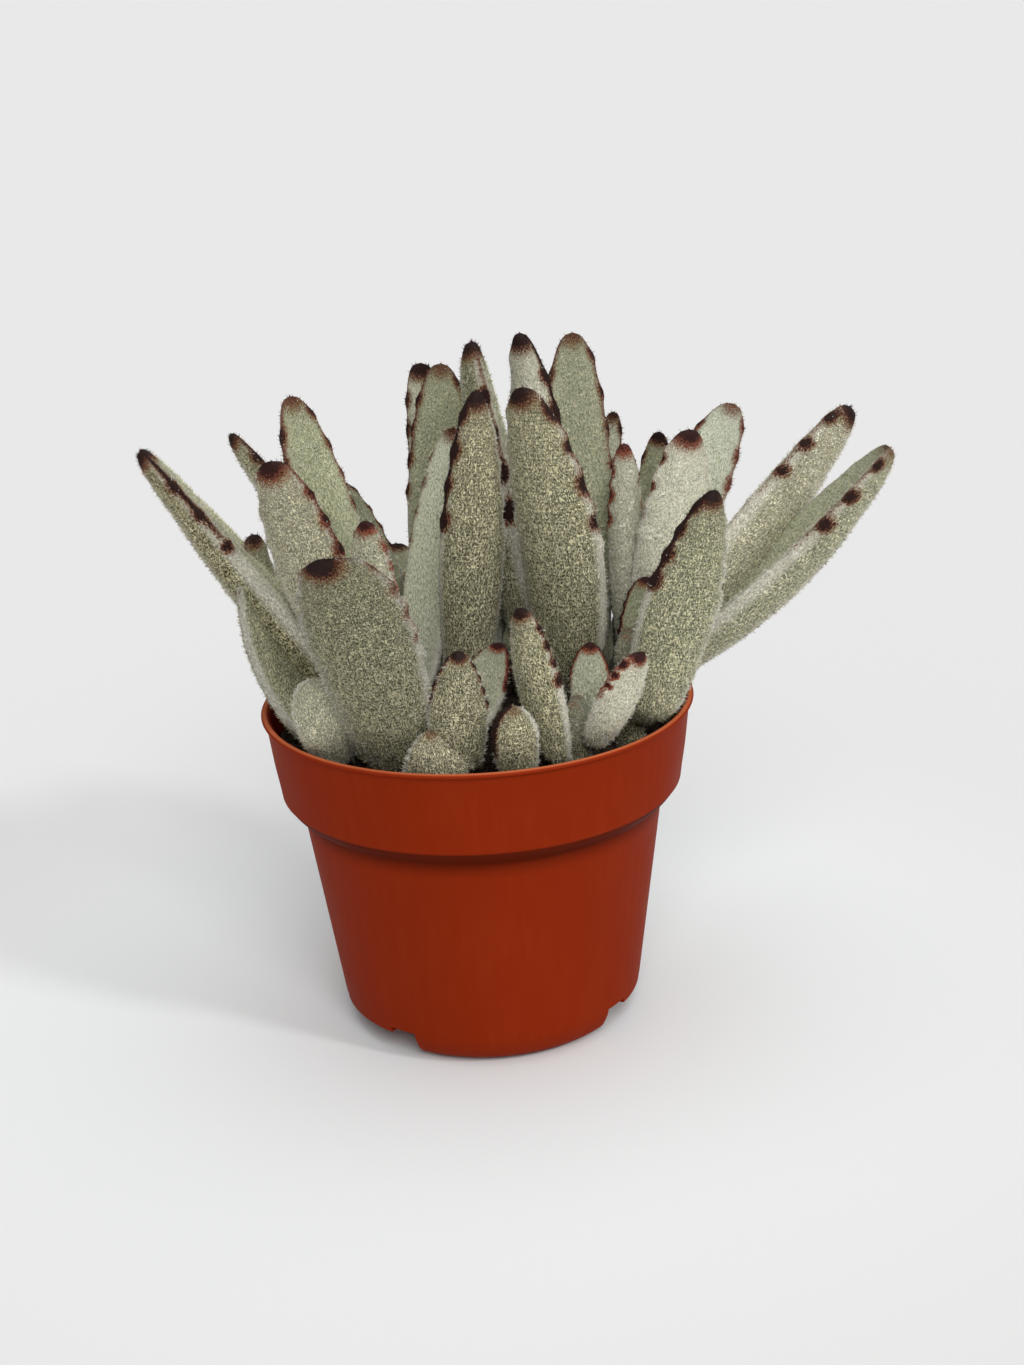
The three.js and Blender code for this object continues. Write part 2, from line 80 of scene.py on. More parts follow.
camera_data = bpy.data.cameras.new("camera")
camera_data.sensor_fit = "VERTICAL"
camera_data.sensor_height = SENSOR_HEIGHT
camera_data.lens = LENS
camera_data.clip_end = FARTHEST_SEEN
camera = new_object("camera", camera_data)
camera.matrix_world = camera_matrix()
bpy.context.scene.camera = camera


# ---- Nursery pot
# A thin-walled pot moulded in matte terracotta-brown plastic: a rolled lip, a collar that tapers to a fine
# edge, an undercut, a plain wall and a notched foot ring. The mould leaves faint upright streaks in it.

POT_ROUND = 200
POT_SHARP_EDGE = np.radians(40)
ROUNDING_STEPS = 4
ROUNDING_LIMIT = 0.45
FOOT_TOP = 8.2
FOOT_MIDDLE = -81
FOOT_CLEAR_RADIUS = 20
FOOT_EDGE_STEP = np.radians(0.06)
# how far the middle of a gap is from FOOT_MIDDLE, its half-angle, and its height
FOOT_GAPS = [(45.5, 5.5, 7.8), (70, 19.5, 6.3), (88, 2.0, 7.8)]
# radius, height, and how far from this corner its rounding starts
FOOT_INSIDE = [(35.4, FOOT_TOP, 0.4), (35.3, 6.8, 0.4), (33.6, 3.6, 1.0), (31.6, 1.6, 0.8), (29.3, 0, 0.2)]
FOOT_OUTSIDE = [(30.5, 0, 0.4), (33.0, 0.9, 1.2), (35.2, 2.8, 1.2), (37.1, 6.5, 1.8)]
WALL_AT_FOOT_TOP = (37.3, FOOT_TOP, 0)
POT_PROFILE = [
    (6.0, 0, 0.3),
    (6.0, FOOT_TOP, 0.3),
    *FOOT_INSIDE,
    *FOOT_OUTSIDE,
    (44.2, 56.6, 0.2),
    (46.3, 58.1, 1.0),
    (47.9, 59.8, 0.9),
    (48.5, 61.1, 0.1),
    (48.95, 61.3, 0.12),
    (49.3, 64, 1.0),
    (50.2, 69.5, 2.0),
    (51.5, 80.8, 0.12),
    (52.4, 81.05, 0.2),
    (52.5, 81.4, 0.2),
    (52.2, 81.8, 0.3),
    (51.6, 82.0, 0.3),
    (51.0, 81.8, 0.3),
    (50.2, 80.8, 0.5),
    (49.0, 69.5, 2.0),
    (48.1, 64, 1.0),
    (46.7, 60.6, 1.2),
    (43.0, 57.2, 1.2),
    (36.3, 11.2, 1.2),
    (35.6, 10.0, 0.6),
    (33.6, 9.4, 0.6),
]
FOOT_OUTSIDE_START = POT_PROFILE.index(FOOT_OUTSIDE[0])
# heights of the middle of the underside and of the floor inside
POT_MIDDLES = (0.0, 9.4)
TERRACOTTA = (0.235, 0.020, 0.003)
TERRACOTTA_WORN = (0.27, 0.030, 0.007)
TERRACOTTA_SHADED = (0.060, 0.006, 0.001)
TERRACOTTA_LIP_HIGHLIGHT = (0.62, 0.17, 0.070)
# smooth steps, each from where to where and between which values: worn plastic in the clouds and streaks,
# its roughness in the clouds, and, by height in metres, the painted shade of the undercut from below and from
# above, and the painted highlight on the lip
WORN_STEP = (0.16, 0.42, 0, 0.3)
POLISH_STEP = (0.3, 0.7, 0.46, 0.58)
SHADE_BELOW_STEP = (0.0520, 0.0585, 0, 0.8)
SHADE_ABOVE_STEP = (0.0606, 0.0611, 1, 0)
LIP_HIGHLIGHT_STEP = (0.0816, 0.0820, 0, 0.8)
# the Mix node's sockets for its share and its two colours, and for the mixed colour
MIX_INPUTS = (0, 6, 7)
MIX_OUTPUT = 2


def rounded(corners):
    """The profile with each corner cut off by a quadratic curve, (1-t)^2 a + 2t(1-t) corner + t^2 b, from
    a point on the line before it to a point on the line after it."""
    points = np.array(corners)[:, :2]
    reach = np.array(corners)[:, 2]
    before = np.vstack([[0, points[0, 1]], points[:-1]])
    after = np.vstack([points[1:], [0, points[-1, 1]]])
    t = np.linspace(0, 1, ROUNDING_STEPS)[None, :, None]

    def toward(other):
        gap = np.linalg.norm(other - points, axis=1)
        share = np.minimum(reach / gap, ROUNDING_LIMIT)
        return (points + (other - points) * share[:, None])[:, None, :]

    start, end, corner = toward(before), toward(after), points[:, None, :]
    return ((1 - t) ** 2 * start + 2 * t * (1 - t) * corner + t**2 * end).reshape(-1, 2)


def turned_rings(profile, angles):
    """Rings of points from turning the profile about Z: (radius cos a, radius sin a, height)."""
    radius, height = profile[:, :1], profile[:, 1:]
    flat = np.zeros((1, len(angles)))
    return np.stack([radius * np.cos(angles), radius * np.sin(angles), height + flat], -1)


def skin(name, rings, first_pole, last_pole):
    """A closed mesh from rings of points, each joined to the next by quads, with a fan of triangles from
    the end rings to a pole. The rings run anticlockwise as seen from the last pole. Its map has u round the
    rings and v from the first ring to the last."""
    count, sides, _ = rings.shape
    vertices = np.vstack([rings.reshape(-1, 3), first_pole, last_pole]) / 1000
    ring, side = np.meshgrid(np.arange(count - 1), np.arange(sides), indexing="ij")
    near, far = ring * sides + side, ring * sides + (side + 1) % sides
    quads = np.stack([near, far, far + sides, near + sides], -1).reshape(-1, 4)
    this = np.arange(sides)
    following = (this + 1) % sides
    base = (count - 1) * sides
    first = np.stack([following, this, np.full(sides, count * sides)], -1)
    last = np.stack([base + this, base + following, np.full(sides, count * sides + 1)], -1)
    mesh = bpy.data.meshes.new(name)
    mesh.from_pydata(vertices.tolist(), [], quads.tolist() + first.tolist() + last.tolist())
    mesh.polygons.foreach_set("use_smooth", np.ones(len(mesh.polygons), bool))
    u = np.stack([side, side + 1, side + 1, side], -1) / sides
    v = np.stack([ring, ring, ring + 1, ring + 1], -1) / (count - 1)
    fan_u = np.stack([this + 1, this, this + 0.5], -1) / sides
    fan_v = np.zeros_like(fan_u)
    ends = [np.stack([fan_u, fan_v], -1), np.stack([fan_u[:, [1, 0, 2]], fan_v + 1], -1)]
    flat = np.concatenate([np.stack([u, v], -1).reshape(-1, 2), *(end.reshape(-1, 2) for end in ends)])
    mesh.uv_layers.new(name="OFBake").data.foreach_set("uv", flat.astype(np.float32).ravel())
    return new_object(name, mesh)


def foot_gaps():
    """The middle heading, half-angle and height of every gap in the foot, on both sides of its two arcs."""
    return [
        (FOOT_MIDDLE + turn + side * away, half, height)
        for away, half, height in FOOT_GAPS
        for turn in (0, 180)
        for side in (-1, 1)
    ]


def pot_angles():
    """Even steps round the pot, with a pair of close ones at each end of every gap in the foot."""
    edges = [np.radians(middle + side * half) for middle, half, _ in foot_gaps() for side in (-1, 1)]
    even = np.arange(POT_ROUND) * 2 * np.pi / POT_ROUND
    pairs = np.array(edges)[:, None] + [-FOOT_EDGE_STEP, FOOT_EDGE_STEP]
    return np.sort(np.mod(np.concatenate([even, pairs.ravel()]), 2 * np.pi))


def radius_at(height, corners):
    """The radius of one side of the foot at a height, straight between that side's corners."""
    radii, heights, _ = np.transpose(sorted(corners, key=lambda corner: corner[1]))
    return np.interp(height, heights, radii)


def cut_foot(rings, angles):
    """In each gap, moves the skirt's points under the gap's top up its outside or its inside to that top."""
    outside = np.arange(len(rings)) >= FOOT_OUTSIDE_START * ROUNDING_STEPS
    for middle, half, height in foot_gaps():
        turn = np.mod(np.degrees(angles) - middle + 180, 360) - 180
        radius = np.hypot(rings[..., 0], rings[..., 1])
        cut = (np.abs(turn) < half)[None, :] & (radius > FOOT_CLEAR_RADIUS) & (rings[..., 2] < height)
        outer = radius_at(height, [*FOOT_OUTSIDE, WALL_AT_FOOT_TOP])
        inner = radius_at(height, FOOT_INSIDE)
        scale = np.where(cut, np.where(outside, outer, inner)[:, None] / radius, 1)
        rings[..., :2] *= scale[..., None]
        rings[..., 2] = np.where(cut, height, rings[..., 2])


def new_material(name):
    """A node material with its Principled shader, and the tree that holds it."""
    material = bpy.data.materials.new(name)
    material.use_nodes = True
    return material, material.node_tree, material.node_tree.nodes["Principled BSDF"]


def feed(tree, node, sources):
    """Feeds the node's inputs from (input, value or output socket) pairs."""
    for socket, value in sources:
        if isinstance(value, bpy.types.NodeSocket):
            tree.links.new(value, node.inputs[socket])
        else:
            node.inputs[socket].default_value = value


def add_node(tree, kind, sources=(), **settings):
    """A new shader node, with its properties from settings and its inputs fed from sources."""
    made = tree.nodes.new(kind)
    for name, value in settings.items():
        setattr(made, name, value)
    feed(tree, made, sources)
    return made


def maths(tree, operation, *values):
    """The result of one operation on numbers or output sockets."""
    return add_node(tree, "ShaderNodeMath", enumerate(values), operation=operation).outputs[0]


def mixed(tree, share, first, second):
    """Colour between first (share 0) and second (share 1)."""
    colours = [value if isinstance(value, bpy.types.NodeSocket) else (*value, 1) for value in (first, second)]
    pairs = zip(MIX_INPUTS, (share, *colours))
    return add_node(tree, "ShaderNodeMix", pairs, data_type="RGBA").outputs[MIX_OUTPUT]


def stepped(tree, value, low, high, to_low=0.0, to_high=1.0):
    """A smooth step from to_low, where value is under low, to to_high, where it is over high."""
    pairs = [("Value", value), ("From Min", low), ("From Max", high), ("To Min", to_low), ("To Max", to_high)]
    return add_node(tree, "ShaderNodeMapRange", pairs, interpolation_type="SMOOTHSTEP").outputs["Result"]


def object_place(tree, stretch=(1, 1, 1)):
    """The piece's own coordinates in metres, times stretch."""
    source = add_node(tree, "ShaderNodeTexCoord").outputs["Object"]
    return add_node(tree, "ShaderNodeMapping", [("Vector", source), ("Scale", stretch)]).outputs["Vector"]


def noise(tree, place, scale, detail=3.0, roughness=0.5):
    """Noise from 0 to 1, with `scale` bumps to each unit of the place: a metre, or a mm of a leaf's skin."""
    pairs = [("Vector", place), ("Scale", scale), ("Detail", detail), ("Roughness", roughness)]
    return add_node(tree, "ShaderNodeTexNoise", pairs).outputs["Fac"]


def bumps(tree, height, strength, depth):
    """The normals of a surface whose bumps are `depth` metres high as height goes from 0 to 1."""
    pairs = [("Strength", strength), ("Distance", depth), ("Height", height)]
    return add_node(tree, "ShaderNodeBump", pairs).outputs["Normal"]


def pot_plastic():
    """Matte plastic: broad faint clouds and upright streaks of a paler, worn brown, and a fine grain. It has
    painted shade in the undercut and a painted highlight along the lip."""
    material, tree, shader = new_material("pot_plastic")
    place = object_place(tree)
    clouds = noise(tree, place, scale=45, detail=4)
    streaks = noise(tree, object_place(tree, stretch=(1, 1, 0.06)), scale=420, detail=2)
    worn = stepped(tree, maths(tree, "MULTIPLY", clouds, streaks), *WORN_STEP)
    colour = mixed(tree, worn, TERRACOTTA, TERRACOTTA_WORN)
    height = add_node(tree, "ShaderNodeSeparateXYZ", [(0, place)]).outputs["Z"]
    # painted shade in the undercut, where the collar shades the wall
    sides_of_shade = [stepped(tree, height, *step) for step in (SHADE_BELOW_STEP, SHADE_ABOVE_STEP)]
    colour = mixed(tree, maths(tree, "MULTIPLY", *sides_of_shade), colour, TERRACOTTA_SHADED)
    # a painted highlight along the lip
    colour = mixed(tree, stepped(tree, height, *LIP_HIGHLIGHT_STEP), colour, TERRACOTTA_LIP_HIGHLIGHT)
    grain = bumps(tree, noise(tree, place, scale=2600, detail=2), strength=0.12, depth=0.0001)
    pairs = [("Base Color", colour), ("Roughness", stepped(tree, clouds, *POLISH_STEP)), ("Normal", grain)]
    feed(tree, shader, [*pairs, ("Specular IOR Level", 0.02)])
    return material


angles_of_pot = pot_angles()
pot_rings = turned_rings(rounded(POT_PROFILE), angles_of_pot)
cut_foot(pot_rings, angles_of_pot)
pot = skin("nursery_pot", pot_rings, (0, 0, POT_MIDDLES[0]), (0, 0, POT_MIDDLES[1]))
pot.data.set_sharp_from_angle(angle=POT_SHARP_EDGE)
pot.data.materials.append(pot_plastic())
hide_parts("pot")
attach(pot, "root")


# ---- Potting soil
# A dark peaty mix that fills the pot to a finger's breadth below its lip, with a crumbly surface and a few
# white grains of perlite.

SOIL_TOP = 73.2
SOIL_BOTTOM = 10.0
SOIL_EDGE_RADIUS = 48.9
# radius and height
SOIL_SIDE = [(33.2, SOIL_BOTTOM), (35.2, 11.8), (42.7, 57.6), (46.4, 61.4), (47.4, 65), (48.3, 70.4)]
SOIL_SIDE += [(SOIL_EDGE_RADIUS, 72.9)]
SOIL_ROUND = 180
SOIL_ACROSS = 60
SOIL_EDGE_STEP = 0.3
SOIL_MIDDLE_RADIUS = 0.6
SWELL_HEIGHT = 0.55
SWELL_LENGTHS = (9, 7)
RIPPLES_OF_A_KIND = 10
RIPPLE_HEIGHTS = np.repeat([0.16, 0.12, 0.07, 0.035], RIPPLES_OF_A_KIND)
RIPPLE_CLOSENESS = np.repeat([0.35, 0.8, 1.6, 3.0], RIPPLES_OF_A_KIND)
LUMP_SQUASH = (0.5, 1.0)
LUMP_PUSH = (0.75, 1.25)
LUMP_SMALLNESS = 2.5
BARE_EDGE = 1.5
CRUMBS = 1500
CRUMB_SIZES = (0.35, 1.7)
CRUMB_SUNK = 0.5
PERLITE = 60
PERLITE_SIZES = (0.3, 1.0)
PERLITE_SUNK = 0.4
PEAT_STEP = (0.45, 0.75)
STAIN_STEP = (0.4, 0.8)
PEAT = (0.020, 0.013, 0.009)
PEAT_LIGHT = (0.085, 0.056, 0.036)
PERLITE_WHITE = (0.62, 0.58, 0.50)
PERLITE_STAIN = (0.22, 0.17, 0.12)
soil_draw = np.random.default_rng(7)
ripple_ways = soil_draw.normal(0, 1, (len(RIPPLE_HEIGHTS), 2)) * RIPPLE_CLOSENESS[:, None]
ripple_starts = soil_draw.uniform(0, 2 * np.pi, len(RIPPLE_HEIGHTS))


def soil_height(x, y):
    """The soil's surface: a level, plus a wide swell, which is a sine along X times a cosine along Y, plus
    forty small sine waves in all directions."""
    ripples = np.sin(x[..., None] * ripple_ways[:, 0] + y[..., None] * ripple_ways[:, 1] + ripple_starts)
    swell = SWELL_HEIGHT * np.sin(x / SWELL_LENGTHS[0]) * np.cos(y / SWELL_LENGTHS[1])
    return SOIL_TOP + swell + ripples @ RIPPLE_HEIGHTS


def lumps(name, places, sizes, draw):
    """Small lumps: an icosahedron at each place, squashed along each axis at random and with its twelve
    corners pushed in or out at random."""
    golden = (1 + 5**0.5) / 2
    corners = np.array(
        [(-1, golden, 0), (1, golden, 0), (-1, -golden, 0), (1, -golden, 0)]
        + [(0, -1, golden), (0, 1, golden), (0, -1, -golden), (0, 1, -golden)]
        + [(golden, 0, -1), (golden, 0, 1), (-golden, 0, -1), (-golden, 0, 1)]
    )
    faces = np.array(
        [(0, 11, 5), (0, 5, 1), (0, 1, 7), (0, 7, 10), (0, 10, 11), (1, 5, 9), (5, 11, 4), (11, 10, 2)]
        + [(10, 7, 6), (7, 1, 8), (3, 9, 4), (3, 4, 2), (3, 2, 6), (3, 6, 8), (3, 8, 9), (4, 9, 5)]
        + [(2, 4, 11), (6, 2, 10), (8, 6, 7), (9, 8, 1)]
    )
    unit = corners / np.linalg.norm(corners[0])
    squash = draw.uniform(*LUMP_SQUASH, (len(places), 1, 3))
    push = draw.uniform(*LUMP_PUSH, (len(places), len(unit), 1))
    vertices = places[:, None, :] + unit * push * squash * sizes[:, None, None]
    indices = faces[None] + len(unit) * np.arange(len(places))[:, None, None]
    mesh = bpy.data.meshes.new(name)
    mesh.from_pydata((vertices.reshape(-1, 3) / 1000).tolist(), [], indices.reshape(-1, 3).tolist())
    return new_object(name, mesh)


def scattered(count, low, high, sunk, draw):
    """Places and sizes of lumps between low and high, more of them small, spread evenly over the soil. sunk
    is the share of its size that a lump sits deeper than on the surface."""
    radius = (SOIL_EDGE_RADIUS - BARE_EDGE) * np.sqrt(draw.uniform(0, 1, count))
    turn = draw.uniform(0, 2 * np.pi, count)
    sizes = low + (high - low) * draw.uniform(0, 1, count) ** LUMP_SMALLNESS
    x, y = radius * np.cos(turn), radius * np.sin(turn)
    return np.stack([x, y, soil_height(x, y) + sizes * (1 - sunk)], -1), sizes


def peat():
    """Rough dark peat in two browns, mottled at the size of its crumbs."""
    material, tree, shader = new_material("peat")
    mottle = noise(tree, object_place(tree), scale=700, detail=5, roughness=0.65)
    colour = mixed(tree, stepped(tree, mottle, *PEAT_STEP), PEAT, PEAT_LIGHT)
    rough = bumps(tree, mottle, strength=0.9, depth=0.0006)
    pairs = [("Base Color", colour), ("Roughness", 0.95), ("Specular IOR Level", 0.2), ("Normal", rough)]
    feed(tree, shader, pairs)
    return material


def perlite():
    """Chalky white grains, stained a little by the peat."""
    material, tree, shader = new_material("perlite")
    stain = stepped(tree, noise(tree, object_place(tree), scale=1500), *STAIN_STEP)
    colour = mixed(tree, stain, PERLITE_WHITE, PERLITE_STAIN)
    feed(tree, shader, [("Base Color", colour), ("Roughness", 0.9)])
    return material


soil_angles = np.arange(SOIL_ROUND) * 2 * np.pi / SOIL_ROUND
soil_inner = np.linspace(SOIL_EDGE_RADIUS - SOIL_EDGE_STEP, SOIL_MIDDLE_RADIUS, SOIL_ACROSS)
soil_side_rings = turned_rings(np.array(SOIL_SIDE), soil_angles)
soil_top_rings = turned_rings(np.stack([soil_inner, soil_inner * 0], -1), soil_angles)
soil_top_rings[..., 2] = soil_height(soil_top_rings[..., 0], soil_top_rings[..., 1])
soil_rings = np.vstack([soil_side_rings, soil_top_rings])
soil = skin("potting_soil", soil_rings, (0, 0, SOIL_BOTTOM), (0, 0, SOIL_TOP))
crumb_places, crumb_sizes = scattered(CRUMBS, *CRUMB_SIZES, CRUMB_SUNK, soil_draw)
crumbs = lumps("soil_crumbs", crumb_places, crumb_sizes, soil_draw)
perlite_places, perlite_sizes = scattered(PERLITE, *PERLITE_SIZES, PERLITE_SUNK, soil_draw)
perlite_grains = lumps("perlite_grains", perlite_places, perlite_sizes, soil_draw)
soil.data.materials.append(peat())
crumbs.data.materials.append(soil.data.materials[0])
perlite_grains.data.materials.append(perlite())
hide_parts("soil")
for piece in (soil, crumbs, perlite_grains):
    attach(piece, "root")


# ---- Leaves
# Fleshy blades with a narrow root and blunt teeth along the outer half of both margins. Each starts on its
# stem, bends up out of the plant and is dished on its inner face. A chocolate-brown spot sits on the tip and
# on every tooth, joined by a thin brown line along the margin.

LEAF_SIDES = 28
LEAF_STATIONS = 54
STATIONS_TOWARD_TIP = 1.25
MIDDLE_LINE_STEPS = 400
STEM_TO_ROOT = 4.0
AROUND_PER_WIDTH = 2.2
MARKS_LENGTH = 60
MARKS_SCALES = (0.6, 1.15)

# Along the blade, as shares of its length: where the kick at the root ends, where the root has its full width
# and thickness and leaves the stem, where the fleshy belly ends and where the tip starts to thin.
KICK_END = 0.16
ROOT_WIDTH_END = 0.1
ROOT_THICKNESS_END = 0.08
ROOT_SINK_END = 0.02
BELLY_END = 0.8
THINNING_START = 0.6

# How wide and thick the root is, how thick the belly's ends and how thick the tip, as shares of what they
# would be without this slimming, and the powers that shape the neck and the tip.
ROOT_WIDTH = 0.55
ROOT_THICKNESS = 0.45
BELLY_LEAST = 0.7
TIP_THICKNESS = 0.1
NECK_POWER = 0.9
THINNING_POWER = 2.4

# In mm: the least half width, how deep the root is sunk into the stem, and how far the tip's pole stands out.
LEAST_HALF_WIDTH = 0.05
ROOT_SINK = 1.6
TIP_POLE = 0.35

# Across the blade: the most that it is thick, as a share of its width, how full its inner face and its back
# are, and the level of its dish. Then the teeth: their places and length are shares of the blade's length and
# their height is one of its width. They shrink where half the width is under the share TOOTH_FADE of the
# whole, and a higher TOOTH_FLATNESS keeps them closer to the margin.
THICKEST = 0.95
INNER_FULLNESS = 0.75
BACK_FULLNESS = 1.25
DISH_LEVEL = 0.45
RIGHT_TEETH = np.array([0.55, 0.66, 0.77, 0.87])
LEFT_TEETH = np.array([0.605, 0.715, 0.82, 0.93])
TOOTH_LENGTH = 0.024
TOOTH_HEIGHT = 0.04
TOOTH_FADE = 0.3
TOOTH_FLATNESS = 6

# Brown marks on a leaf of MARKS_LENGTH, in mm: how long a spot is and how far it reaches in on the inner face
# and on the back, and the size of the tip's blotch. The thickness counts in part as a way in from the margin.
SPOT_LENGTH = 2.1
SPOT_REACH_INSIDE = 1.9
SPOT_REACH_BACK = 2.1
BLOTCH_SIZE = 3.4
BLOTCH_WIDENED = 1.25
BLOTCH_LEVEL = 0.96
LINE_FADE = 0.22
THICKNESS_COUNTS = 0.35

# Form of a leaf: height is where it leaves the stem; heading is the way it grows, in degrees from X toward Y;
# rise is its slope, and curl how much steeper it gets by the tip; bow is how far its middle swings sideways;
# roll turns it about its own line; cup is the depth of its dish; neck is the root's share of the full width;
# kick is how much flatter it leaves the stem; widest is the share of its length where it is widest; higher
# taper and blunt make a fuller tip.
LEAF_DEFAULTS = dict(curl=4, bow=0, roll=0, cup=0.2, neck=0.55, kick=38, widest=0.5, taper=1.6, blunt=2.4)

# Looks of a leaf: green 0 is a tan back and 1 a green one; pale 1 is nearly white felt; rose reddens its
# marks; tone_and_painted_light is the felt's share of full brightness, partly the leaf's own tone and partly
# painted light or painted shade for how the leaf is lit; inside 0 colours the inner face as the back; tip,
# left, right and line are the strengths of the tip's blotch, the spots and the margin's line; wide and start
# are the line's width in mm and where it begins; lean moves the blotch to one side of the tip; inset moves
# the spots from the margin onto the back, in mm, and shift moves them toward the tip, as a share of the
# length; and spots are their sizes, from the lowest. A leaf that gives no green or spots has them drawn at
# random.
LOOK_DEFAULTS = dict(
    pale=0.1, rose=0.15, tone_and_painted_light=1.0, inside=1.0, tip=1.0, lean=0, left=0.9, right=0.9, line=0.5, wide=0.9,
    start=0.5, inset=0, shift=0.006, spots=(1, 1, 1, 1),
)
GREEN_RANGE = (0.2, 0.7)
SPOTS_RANGE = (0.7, 1.15)

